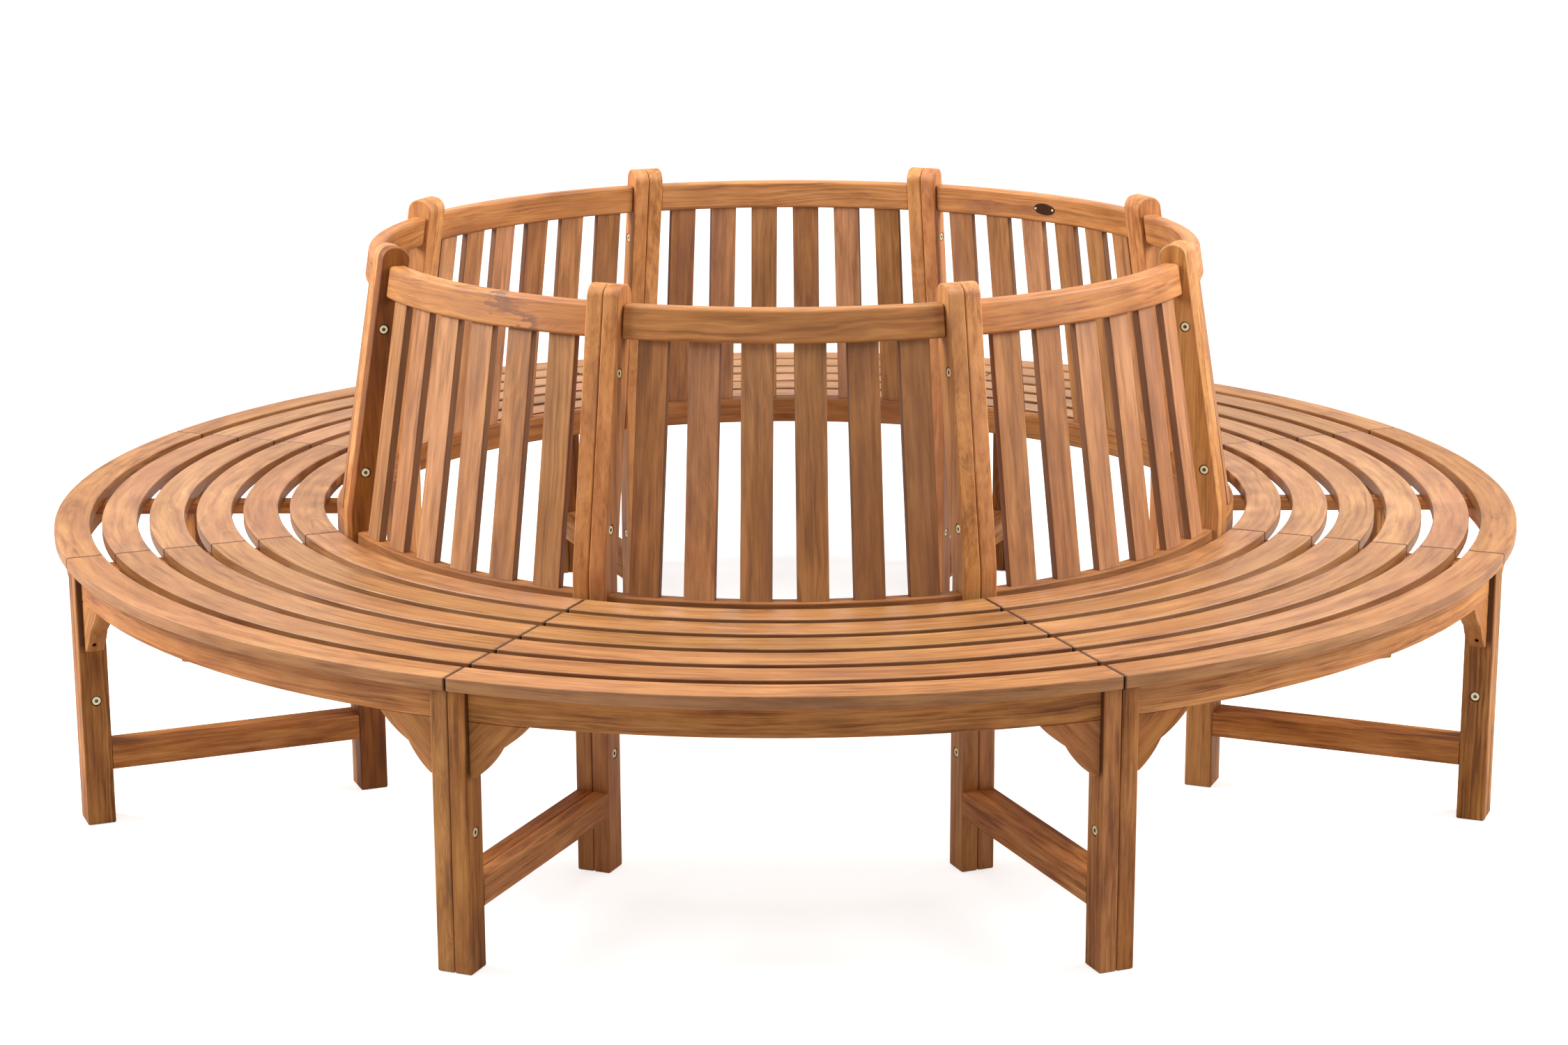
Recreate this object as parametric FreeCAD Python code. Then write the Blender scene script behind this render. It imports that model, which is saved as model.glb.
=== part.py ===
import FreeCAD, Part
import math
import os

# Round tree bench in oiled hardwood: eight equal seat segments, bolted together
# into a ring that stands around a trunk, with the sitters facing outwards.
# Millimetres, +Z up. The origin is the centre of the ring on the ground, and the
# first segment faces -Y. Left and right are those of someone who looks at a
# segment from outside the ring. Segments are numbered to the right from there.

# The ring
SEGMENT_COUNT = 8
FIRST_SEGMENT_ANGLE = -90.0
FRAME_PAIR_GAP = 0.4

# Seat
SEAT_HEIGHT = 437.0
SEAT_RADIUS = 1226.0
SEAT_ROWS = 6
SEAT_SLAT_WIDTH = 58.0
SEAT_SLAT_GAP = 19.0
SEAT_SLAT_THICKNESS = 20.0
SEAT_SLAT_END_GAP = 1.2

# Side frames: a front leg and a leaning back post, joined by two rails
FRAME_THICKNESS = 27.0
LEG_DEPTH = 45.0
LEG_SETBACK = 6.0
POST_DEPTH = 45.0
POST_SETBACK = 13.0
POST_HEIGHT = 900.0
POST_LEAN = 9.1
POST_BEND_ABOVE_SEAT = 35.0
POST_BEND_RADIUS = 150.0
POST_CROWN_RADIUS = 20.0
SEAT_RAIL_HEIGHT = 45.0
STRETCHER_HEIGHT = 40.0
STRETCHER_CLEARANCE = 89.5

# Apron under the front edge, with a shaped bracket at each end
APRON_HEIGHT = 45.0
APRON_THICKNESS = 28.0
APRON_SETBACK = 10.0
BRACKET_THICKNESS = 28.0
BRACKET_LENGTH = 88.0
BRACKET_DROP = 82.0
BRACKET_FOOT = 8.0
BRACKET_NOTCH_ALONG = 43.0
BRACKET_NOTCH_DOWN = 39.5
BRACKET_LOBE_RISE = 2.8

# Batten under the middle of the seat slats
BATTEN_WIDTH = 39.0
BATTEN_THICKNESS = 19.0

# Back: two curved rails with flat slats between them
TOP_RAIL_HEIGHT = 51.0
TOP_RAIL_THICKNESS = 26.0
TOP_RAIL_SETBACK = 12.0
TOP_RAIL_BELOW_CROWN = 29.0
BOTTOM_RAIL_HEIGHT = 46.0
BOTTOM_RAIL_THICKNESS = 26.0
BOTTOM_RAIL_SETBACK = 8.0
BOTTOM_RAIL_ABOVE_SEAT = 3.0
BACK_SLAT_COUNT = 6
BACK_SLAT_WIDTH = 48.0
BACK_SLAT_THICKNESS = 13.0
BACK_SLAT_RECESS = 8.0
BACK_SLAT_PITCH_ANGLE = 6.5

# Worked out from the sizes above
HALF_ANGLE = 180.0 / SEGMENT_COUNT
SEAT_SLAT_PITCH = SEAT_SLAT_WIDTH + SEAT_SLAT_GAP
SEAT_UNDERSIDE = SEAT_HEIGHT - SEAT_SLAT_THICKNESS
SEAT_INNER_RADIUS = SEAT_RADIUS - SEAT_ROWS * SEAT_SLAT_PITCH + SEAT_SLAT_GAP
FRAME_NEAR = FRAME_PAIR_GAP / 2
FRAME_FAR = FRAME_NEAR + FRAME_THICKNESS
LEG_FRONT = SEAT_RADIUS - LEG_SETBACK
LEG_BACK = LEG_FRONT - LEG_DEPTH
POST_FRONT = SEAT_INNER_RADIUS - POST_SETBACK
POST_BEND_HEIGHT = SEAT_HEIGHT + POST_BEND_ABOVE_SEAT
SEAT_RAIL_UNDERSIDE = SEAT_UNDERSIDE - SEAT_RAIL_HEIGHT
STRETCHER_TOP = STRETCHER_CLEARANCE + STRETCHER_HEIGHT
APRON_FRONT = LEG_FRONT - APRON_SETBACK
APRON_BACK = APRON_FRONT - APRON_THICKNESS
APRON_UNDERSIDE = SEAT_UNDERSIDE - APRON_HEIGHT
TOP_RAIL_TOP = POST_HEIGHT - TOP_RAIL_BELOW_CROWN
TOP_RAIL_UNDERSIDE = TOP_RAIL_TOP - TOP_RAIL_HEIGHT
BOTTOM_RAIL_FRONT = POST_FRONT - BOTTOM_RAIL_SETBACK
BOTTOM_RAIL_BACK = BOTTOM_RAIL_FRONT - BOTTOM_RAIL_THICKNESS
BOTTOM_RAIL_TOP = SEAT_HEIGHT + BOTTOM_RAIL_ABOVE_SEAT
BOTTOM_RAIL_UNDERSIDE = BOTTOM_RAIL_TOP - BOTTOM_RAIL_HEIGHT
BACK_SLAT_SETBACK = TOP_RAIL_SETBACK + BACK_SLAT_RECESS
LEAN_SIN = math.sin(math.radians(POST_LEAN))
LEAN_COS = math.cos(math.radians(POST_LEAN))
FAR_OUT = 2 * SEAT_RADIUS

ORIGIN = FreeCAD.Vector(0, 0, 0)
ALONG = FreeCAD.Vector(0, 1, 0)
UP = FreeCAD.Vector(0, 0, 1)


# Frames of reference. A side frame is drawn in the joint's own frame: x runs out
# along the joint between two segments, and y runs into the segment. The rest of a
# segment is drawn with the segment facing +X.

def turned(shape, degrees):
    """Copy of a shape turned about the ring's axis."""
    copy = shape.copy()
    copy.rotate(ORIGIN, UP, degrees)
    return copy


def at_both_ends(shape):
    """A shape from the joint's frame, and its mirror image, at a segment's ends."""
    mirrored = shape.mirror(ORIGIN, ALONG)
    return [turned(shape, -HALF_ANGLE), turned(mirrored, HALF_ANGLE)]


# Basic forms

def block(x_span, y_span, z_span):
    """Box between two values on each axis."""
    sides = [high - low for low, high in (x_span, y_span, z_span)]
    corner = FreeCAD.Vector(x_span[0], y_span[0], z_span[0])
    return Part.makeBox(*sides, corner)


def flat_face(points):
    """Face with straight sides through the points."""
    return Part.Face(Part.makePolygon(points + points[:1]))


def curved_board(inner, outer, z_span, end_offset):
    """Board bent round the ring, its ends parallel to the joints and short of them."""
    corners = {}
    for radius in (inner, outer):
        half = math.radians(HALF_ANGLE) - math.asin(end_offset / radius)
        for place in (-1, 0, 1):
            x = radius * math.cos(place * half)
            y = radius * math.sin(place * half)
            corners[radius, place] = FreeCAD.Vector(x, y, z_span[0])
    edges = [
        Part.Arc(corners[outer, -1], corners[outer, 0], corners[outer, 1]),
        Part.LineSegment(corners[outer, 1], corners[inner, 1]),
        Part.Arc(corners[inner, 1], corners[inner, 0], corners[inner, -1]),
        Part.LineSegment(corners[inner, -1], corners[outer, -1]),
    ]
    outline = Part.Wire([edge.toShape() for edge in edges])
    return Part.Face(outline).extrude(UP * (z_span[1] - z_span[0]))


def between_frames():
    """The wedge of space between the two side frames of a segment."""
    half = math.radians(HALF_ANGLE)
    apex = FRAME_FAR / math.sin(half)
    x_far = apex + FAR_OUT * math.cos(half)
    y_far = FAR_OUT * math.sin(half)
    corners = [(apex, 0), (x_far, -y_far), (x_far, y_far)]
    return flat_face([FreeCAD.Vector(x, y, 0) for x, y in corners]).extrude(UP * POST_HEIGHT)


def behind_front(depth, z, y):
    """Point at height z that lies depth behind the leaning front of the posts."""
    x = POST_FRONT - ((z - POST_BEND_HEIGHT) * LEAN_SIN + depth) / LEAN_COS
    return FreeCAD.Vector(x, y, z)


def edges_through(shape, points, direction):
    """The edges along a direction that pass through any of the points."""
    found = []
    for edge in shape.Edges:
        offsets = [(edge.CenterOfMass - point).cross(direction).Length for point in points]
        if min(offsets) < 0.01:
            found.append(edge)
    return found


# Side frame, in the joint's frame

def frame_board(inner, outer, z_low, z_high):
    """Board of a side frame between two radii and two heights."""
    return block((inner, outer), (FRAME_NEAR, FRAME_FAR), (z_low, z_high))


def front_leg():
    """Straight leg under the seat's edge."""
    return frame_board(LEG_BACK, LEG_FRONT, 0, SEAT_UNDERSIDE)


def seat_rail():
    """Rail that carries the slats from the back post to the front leg."""
    return frame_board(POST_FRONT, LEG_BACK, SEAT_RAIL_UNDERSIDE, SEAT_UNDERSIDE)


def stretcher():
    """Rail that ties the leg to the post near the ground."""
    return frame_board(POST_FRONT, LEG_BACK, STRETCHER_CLEARANCE, STRETCHER_TOP)


def back_post():
    """Rear leg and back post as one board, with an eased bend and a rounded crown."""
    crown = behind_front(POST_DEPTH / 2, POST_HEIGHT, FRAME_NEAR)
    half_crown = FreeCAD.Vector(LEAN_COS, 0, LEAN_SIN) * (POST_DEPTH / 2)
    back_bend = POST_BEND_HEIGHT - POST_DEPTH * math.tan(math.radians(POST_LEAN) / 2)
    outline = [
        FreeCAD.Vector(POST_FRONT, FRAME_NEAR, 0),
        FreeCAD.Vector(POST_FRONT, FRAME_NEAR, POST_BEND_HEIGHT),
        crown + half_crown,
        crown - half_crown,
        FreeCAD.Vector(POST_FRONT - POST_DEPTH, FRAME_NEAR, back_bend),
        FreeCAD.Vector(POST_FRONT - POST_DEPTH, FRAME_NEAR, 0),
    ]
    post = flat_face(outline).extrude(ALONG * FRAME_THICKNESS)
    post = post.makeFillet(POST_CROWN_RADIUS, edges_through(post, outline[2:4], ALONG))
    bends = [outline[1], outline[4]]
    return post.makeFillet(POST_BEND_RADIUS, edges_through(post, bends, ALONG))


# Seat, in a segment's frame

def seat_slat(row):
    """One slat of a row; row 0 is the outermost."""
    outer = SEAT_RADIUS - row * SEAT_SLAT_PITCH
    z_span = (SEAT_UNDERSIDE, SEAT_HEIGHT)
    return curved_board(outer - SEAT_SLAT_WIDTH, outer, z_span, SEAT_SLAT_END_GAP / 2)


def apron():
    """Curved board under the outermost slat, between the front legs."""
    return curved_board(APRON_BACK, APRON_FRONT, (APRON_UNDERSIDE, SEAT_UNDERSIDE), FRAME_FAR)


def lobe(start, end):
    """Shallow rounded edge between two points of an outline, outside their chord."""
    run = end - start
    outward = FreeCAD.Vector(0, -run.z, run.y).normalize()
    middle = (start + end) * 0.5 + outward * BRACKET_LOBE_RISE
    return Part.Arc(start, middle, end).toShape()


def bracket_board():
    """Board of the bracket's outline, two lobes with a notch between them.

    y runs along the apron, from the leg.
    """
    top = APRON_UNDERSIDE
    tip = FreeCAD.Vector(0, BRACKET_LENGTH, top)
    notch = FreeCAD.Vector(0, BRACKET_NOTCH_ALONG, top - BRACKET_NOTCH_DOWN)
    foot = FreeCAD.Vector(0, BRACKET_FOOT, top - BRACKET_DROP)
    heel = FreeCAD.Vector(0, -FRAME_THICKNESS / 2, top - BRACKET_DROP)
    corner = FreeCAD.Vector(0, -FRAME_THICKNESS / 2, top)
    edges = [lobe(tip, notch), lobe(notch, foot)]
    for start, end in ((foot, heel), (heel, corner), (corner, tip)):
        edges.append(Part.LineSegment(start, end).toShape())
    return Part.Face(Part.Wire(edges)).extrude(FreeCAD.Vector(-BRACKET_THICKNESS, 0, 0))


def bracket():
    """Flat bracket in the corner of leg and apron, in the joint's frame.

    Both ends of its front are flush with the front of the apron.
    """
    near_angle = math.asin(FRAME_FAR / APRON_FRONT)
    far_angle = math.asin((FRAME_FAR + BRACKET_LENGTH) / APRON_FRONT)
    board = turned(bracket_board(), math.degrees(near_angle + far_angle) / 2)
    board.translate(FreeCAD.Vector(APRON_FRONT * math.cos(near_angle), FRAME_FAR, 0))
    side_frame_space = block((0, FAR_OUT), (-FAR_OUT, FRAME_FAR), (0, SEAT_HEIGHT))
    return board.cut(side_frame_space)


def batten():
    """Flat bearer under the middle of the slats, from the bottom rail to the apron."""
    half_width = BATTEN_WIDTH / 2
    x_span = (BOTTOM_RAIL_FRONT, math.sqrt(APRON_BACK ** 2 - half_width ** 2))
    z_span = (SEAT_UNDERSIDE - BATTEN_THICKNESS, SEAT_UNDERSIDE)
    return block(x_span, (-half_width, half_width), z_span)


# Back, in a segment's frame

def leaning_section(depth, thickness, z_low, z_high, y):
    """Upright section that leans as the posts do, cut level at both ends."""
    return flat_face([
        behind_front(depth, z_high, y),
        behind_front(depth + thickness, z_high, y),
        behind_front(depth + thickness, z_low, y),
        behind_front(depth, z_low, y),
    ])


def back_slat(place):
    """Flat leaning slat between the two rails; place counts from the left."""
    section = leaning_section(BACK_SLAT_SETBACK, BACK_SLAT_THICKNESS, BOTTOM_RAIL_TOP,
                              TOP_RAIL_UNDERSIDE, -BACK_SLAT_WIDTH / 2)
    angle = (place - (BACK_SLAT_COUNT - 1) / 2) * BACK_SLAT_PITCH_ANGLE
    return turned(section.extrude(ALONG * BACK_SLAT_WIDTH), angle)


def top_rail():
    """Rail bent round the ring, with faces that lean as the posts do."""
    section = leaning_section(TOP_RAIL_SETBACK, TOP_RAIL_THICKNESS, TOP_RAIL_UNDERSIDE,
                              TOP_RAIL_TOP, 0)
    bent = turned(section, -HALF_ANGLE).revolve(ORIGIN, UP, 2 * HALF_ANGLE)
    return bent.common(between_frames())


def bottom_rail():
    """Rail bent round the ring behind the seat, under the back slats."""
    z_span = (BOTTOM_RAIL_UNDERSIDE, BOTTOM_RAIL_TOP)
    return curved_board(BOTTOM_RAIL_BACK, BOTTOM_RAIL_FRONT, z_span, FRAME_FAR)


# The whole bench

def segment_angles():
    """The way that each segment faces."""
    return [FIRST_SEGMENT_ANGLE + number * 2 * HALF_ANGLE for number in range(SEGMENT_COUNT)]


def segment_nodes():
    """Pieces that have a node in each segment, for a segment that faces +X."""
    return {
        "front_legs": at_both_ends(front_leg()),
        "back_posts": at_both_ends(back_post()),
        "seat_rails": at_both_ends(seat_rail()),
        "stretchers": at_both_ends(stretcher()),
        "back_slats": [back_slat(place) for place in range(BACK_SLAT_COUNT)],
    }


def ring_nodes():
    """Pieces that share one node all round the ring, for a segment that faces +X."""
    nodes = {f"seat_slats_row_{row + 1}": [seat_slat(row)] for row in range(SEAT_ROWS)}
    nodes["aprons"] = [apron()]
    nodes["apron_brackets"] = at_both_ends(bracket())
    nodes["seat_battens"] = [batten()]
    nodes["bottom_back_rails"] = [bottom_rail()]
    nodes["top_back_rails"] = [top_rail()]
    return nodes


def write_node(name, pieces):
    """One STEP file with the solids of a node."""
    solids = [solid for piece in pieces for solid in piece.Solids]
    Part.makeCompound(solids).exportStep(os.path.join("parts", name + ".step"))
    print(name, len(solids), "solids")


def main():
    """Build the pieces of one segment, and set them round the ring."""
    os.makedirs("parts", exist_ok=True)
    for name, pieces in segment_nodes().items():
        for number, angle in enumerate(segment_angles(), start=1):
            write_node(f"segment_{number}_{name}", [turned(piece, angle) for piece in pieces])
    for name, pieces in ring_nodes().items():
        copies = [turned(piece, angle) for angle in segment_angles() for piece in pieces]
        write_node(name, copies)


main()
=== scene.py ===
import logging
import math
from dataclasses import dataclass
from enum import Enum
from typing import Callable, ClassVar, Iterable, Sequence

import bmesh
import bpy
from mathutils import Matrix, Vector


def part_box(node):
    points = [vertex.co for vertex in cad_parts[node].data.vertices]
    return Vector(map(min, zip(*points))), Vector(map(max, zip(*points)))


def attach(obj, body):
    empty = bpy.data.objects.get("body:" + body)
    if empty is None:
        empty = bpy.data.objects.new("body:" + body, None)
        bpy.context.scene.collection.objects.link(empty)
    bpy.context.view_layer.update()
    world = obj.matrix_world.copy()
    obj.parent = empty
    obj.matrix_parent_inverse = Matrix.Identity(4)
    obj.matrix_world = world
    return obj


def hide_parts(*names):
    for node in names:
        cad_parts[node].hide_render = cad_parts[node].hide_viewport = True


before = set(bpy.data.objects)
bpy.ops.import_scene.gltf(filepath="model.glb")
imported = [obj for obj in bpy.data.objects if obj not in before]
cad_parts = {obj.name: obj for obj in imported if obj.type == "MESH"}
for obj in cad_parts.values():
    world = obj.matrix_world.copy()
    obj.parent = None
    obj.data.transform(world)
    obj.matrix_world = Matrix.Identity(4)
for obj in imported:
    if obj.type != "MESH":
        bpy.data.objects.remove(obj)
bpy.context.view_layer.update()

log = logging.getLogger("tree_bench")

# The bench is drawn one segment at a time, with the segment facing +X, and is then
# dealt round the ring. Metres throughout. Each board carries three attributes: grain,
# its own straight coordinates with x along the fibres; skin, how much of a joint face
# (x) or of a side (y) the surface is; and timber, three random values that make it a
# plank of its own.
# The finishes paint shade by skin: joint faces and sides darken as the gaps between boards would
# shade them.

Color = tuple[float, float, float, float]
Spot = tuple[float, float, float]
Mesh, Item, Material = bpy.types.Mesh, bpy.types.Object, bpy.types.Material
Tree, Socket = bpy.types.NodeTree, bpy.types.NodeSocket

BODY = "root"
ROUNDING_STEPS = 3
SAWN_END = 0.0003
HOUSED_END = 0.0008
OUTWARD = (1.0, 0.0, 0.0)
TANGENT = (0.0, 1.0, 0.0)
UP = (0.0, 0.0, 1.0)
SIDES = (1, -1)


def srgb(red: int, green: int, blue: int) -> Color:
    """Linear colour, with full alpha, for a colour as screens show it.

    Args:
        red: Red, from 0 to 255.
        green: Green, the same way.
        blue: Blue, the same way.

    Returns:
        Red, green, blue and alpha, from 0 to 1.
    """
    def linear(value: int) -> float:
        """One channel made linear."""
        share = value / 255
        return share / 12.92 if share <= 0.04045 else ((share + 0.055) / 1.055) ** 2.4
    return (linear(red), linear(green), linear(blue), 1.0)


@dataclass(frozen=True)
class Ring:
    """Sizes that every part of the bench shares, taken from the frame where it has them."""

    segments: int = 8
    first_angle: float = math.radians(-90)
    pair_gap: float = 0.0004
    frame_thickness: float = 0.027
    lean: float = math.radians(9.1)
    bend_height: float = 0.472
    seat_top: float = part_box("seat_slats_row_1")[1].z
    seat_underside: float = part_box("seat_slats_row_1")[0].z
    seat_radius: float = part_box("seat_slats_row_1")[1].x
    slat_rows: int = 6
    slat_width: float = 0.058
    slat_gap: float = 0.019
    rail_height: float = 0.045
    leg_front: float = 1.220
    leg_back: float = 1.175
    post_front: float = 0.770
    post_depth: float = 0.045
    post_height: float = 0.900

    @property
    def step(self) -> float:
        """Angle from one segment to the next."""
        return 2 * math.pi / self.segments

    @property
    def half(self) -> float:
        """Angle from the middle of a segment to its joint."""
        return self.step / 2

    @property
    def frame_far(self) -> float:
        """Distance from the joint to a side frame's free face."""
        return self.pair_gap / 2 + self.frame_thickness

    @property
    def frame_middle(self) -> float:
        """Distance from the joint to the middle of a side frame."""
        return (self.pair_gap + self.frame_thickness) / 2

    def turns(self) -> list[Matrix]:
        """Turn of each segment from +X to its place in the ring."""
        return [Matrix.Rotation(self.first_angle + number * self.step, 4, "Z")
                for number in range(self.segments)]

    def at_joint(self, side: int, place: Matrix) -> Matrix:
        """Place beside a segment's left joint, or its mirror image at the right one.

        Args:
            side: 1 for the left joint, and -1 for the right one.
            place: Place beside a joint that lies along +X.

        Returns:
            The place in the segment.
        """
        left = Matrix.Rotation(-self.half, 4, "Z") @ place
        return left if side > 0 else Matrix.Scale(-1, 4, TANGENT) @ left

    def row_front(self, row: int) -> float:
        """Radius of the outer edge of a row of slats, of which the outermost is 0."""
        return self.seat_radius - row * (self.slat_width + self.slat_gap)

    def behind_front(self, depth: float, height: float) -> float:
        """Radius of a point that lies some way behind the posts' leaning front.

        Args:
            depth: Distance behind the front, at right angles to it.
            height: Height above the ground.

        Returns:
            Distance from the ring's axis.
        """
        rise = (height - self.bend_height) * math.sin(self.lean)
        return self.post_front - (rise + depth) / math.cos(self.lean)


# Drawing of node trees

def on_wires(operation: str) -> tuple[Callable, Callable]:
    """Lets a Python operator on wires add a Math node.

    Args:
        operation: Blender's name for the node's operation.

    Returns:
        The operator, and the same with its two sides swapped.
    """
    def forward(wire: "Wire", other: object) -> "Wire":
        """The wire, then the other value."""
        return wire.sheet.calc(operation, wire, other)

    def swapped(wire: "Wire", other: object) -> "Wire":
        """The other value, then the wire."""
        return wire.sheet.calc(operation, other, wire)
    return forward, swapped


class Wire:
    """Value on one of a sheet's wires. Arithmetic with it adds Math nodes."""

    def __init__(self, sheet: "Sheet", socket: Socket) -> None:
        """Keeps the sheet, and the socket that the value comes from."""
        self.sheet = sheet
        self.socket = socket

    __add__, __radd__ = on_wires("ADD")
    __sub__, __rsub__ = on_wires("SUBTRACT")
    __mul__, __rmul__ = on_wires("MULTIPLY")
    __truediv__, __rtruediv__ = on_wires("DIVIDE")

    def calc(self, operation: str, *others: object) -> "Wire":
        """Result of one more operation on the wire."""
        return self.sheet.calc(operation, self, *others)

    def siblings(self) -> list["Wire"]:
        """Every output of the node that the wire comes from."""
        return [Wire(self.sheet, socket) for socket in self.socket.node.outputs]

    def split(self) -> list["Wire"]:
        """The three numbers of a vector."""
        return self.sheet.add("ShaderNodeSeparateXYZ", {0: self}).siblings()

    def length(self) -> "Wire":
        """Length of a vector."""
        return self.sheet.add("ShaderNodeVectorMath", {0: self}, "Value", operation="LENGTH")

    def mapped(self, low: float, high: float, most: float = 1.0, least: float = 0.0) -> "Wire":
        """Value that runs from least to most while the wire runs from low to high."""
        return self.sheet.add("ShaderNodeMapRange", {
            "Value": self, "From Min": low, "From Max": high, "To Min": least, "To Max": most})

    def tinted(self, share: object, tint: object) -> "Wire":
        """Colour that is mixed with a tint by the given share."""
        return self.sheet.add("ShaderNodeMix", {0: share, 6: self, 7: tint}, 2, data_type="RGBA")


class Sheet:
    """Node tree that is being drawn, with short ways to add nodes and wire them."""

    def __init__(self, tree: Tree) -> None:
        """Draws on the given tree.

        Args:
            tree: The tree.
        """
        self.tree = tree
        self.given: dict[str, Wire] = {}
        self.end: bpy.types.Node | None = None

    @classmethod
    def group(cls, kind: str, name: str, inputs: dict[str, str],
              outputs: dict[str, str]) -> "Sheet":
        """Starts a node group with named sockets.

        Args:
            kind: GeometryNodeTree or ShaderNodeTree.
            name: Name of the group.
            inputs: Type of each input, by name, such as Float or Geometry.
            outputs: Type of each output, by name.

        Returns:
            The sheet to draw on, whose wires from the inputs are in given, by name.
        """
        sheet = cls(bpy.data.node_groups.new(name, kind))
        for way, sockets in (("INPUT", inputs), ("OUTPUT", outputs)):
            for socket, form in sockets.items():
                sheet.tree.interface.new_socket(socket, in_out=way,
                                                socket_type="NodeSocket" + form)
        start = sheet.tree.nodes.new("NodeGroupInput")
        sheet.given = {socket.name: Wire(sheet, socket) for socket in start.outputs if socket.name}
        sheet.end = sheet.tree.nodes.new("NodeGroupOutput")
        return sheet

    def give(self, *results: Wire) -> Tree:
        """Puts out the results of a group.

        Args:
            results: Wires, in the order of the outputs.

        Returns:
            The finished tree.
        """
        for socket, result in zip(self.end.inputs, results):
            self.plug(socket, result)
        return self.tree

    def plug(self, socket: Socket, value: object) -> None:
        """Feeds a socket.

        Args:
            socket: The socket.
            value: Wire that leads to it, or a plain value.
        """
        if isinstance(value, Wire):
            self.tree.links.new(value.socket, socket)
        else:
            socket.default_value = value

    def add(self, kind: str, values: dict | None = None, output: int | str = 0,
            **settings: object) -> Wire:
        """Adds a node.

        Args:
            kind: Blender's name for the type of node.
            values: Wires or plain values, by the name or number of the input.
            output: Name or number of the output that is wanted.
            settings: Properties of the node itself.

        Returns:
            Wire from that output.
        """
        node = self.tree.nodes.new(kind)
        for name, value in settings.items():
            setattr(node, name, value)
        for key, value in (values or {}).items():
            self.plug(node.inputs[key], value)
        return Wire(self, node.outputs[output])

    def calc(self, operation: str, *values: object) -> Wire:
        """Result of a Math node, or of a Vector Math node where any value is a vector.

        Args:
            operation: Blender's name for the operation.
            values: Wires, numbers or vectors. A number counts as three where it must.

        Returns:
            Wire from the result.
        """
        kind = "ShaderNodeMath"
        if any(isinstance(value, Wire) and value.socket.type == "VECTOR" for value in values):
            kind = "ShaderNodeVectorMath"
            values = [(value,) * 3 if isinstance(value, (int, float)) else value
                      for value in values]
        return self.add(kind, dict(enumerate(values)), operation=operation)

    def joined(self, x: object, y: object, z: object) -> Wire:
        """A vector from three numbers."""
        return self.add("ShaderNodeCombineXYZ", {"X": x, "Y": y, "Z": z})

    def place(self) -> Wire:
        """Where a point of the geometry is."""
        return self.add("GeometryNodeInputPosition")

    def moved(self, geometry: Wire, place: Wire) -> Wire:
        """Geometry with its points moved to their new places."""
        return self.add("GeometryNodeSetPosition", {"Geometry": geometry, "Position": place})

    def realized(self, copies: Wire) -> Wire:
        """Plain geometry in place of copies."""
        return self.add("GeometryNodeRealizeInstances", {0: copies})

    def smooth(self, geometry: Wire) -> Wire:
        """Geometry with smooth shading."""
        return self.add("GeometryNodeSetShadeSmooth", {0: geometry})

    def painted(self, geometry: Wire, **values: object) -> Wire:
        """Geometry with a material on it."""
        return self.add("GeometryNodeSetMaterial", {"Geometry": geometry, **values})

    def named(self, name: str, form: str = "FLOAT_VECTOR") -> Wire:
        """Attribute that the geometry carries."""
        return self.add("GeometryNodeInputNamedAttribute", {"Name": name}, data_type=form)

    def stored(self, geometry: Wire, name: str, value: Wire, form: str = "FLOAT_VECTOR",
               domain: str = "POINT") -> Wire:
        """Geometry that carries one more attribute."""
        return self.add("GeometryNodeStoreNamedAttribute", {
            "Geometry": geometry, "Name": name, "Value": value}, data_type=form, domain=domain)

    def copied(self, points: Wire, instance: Wire, rotation: Wire) -> Wire:
        """Copies of a shape on points, each with its own turn."""
        return self.add("GeometryNodeInstanceOnPoints", {"Points": points, "Instance": instance,
                                                         "Rotation": rotation})


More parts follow.
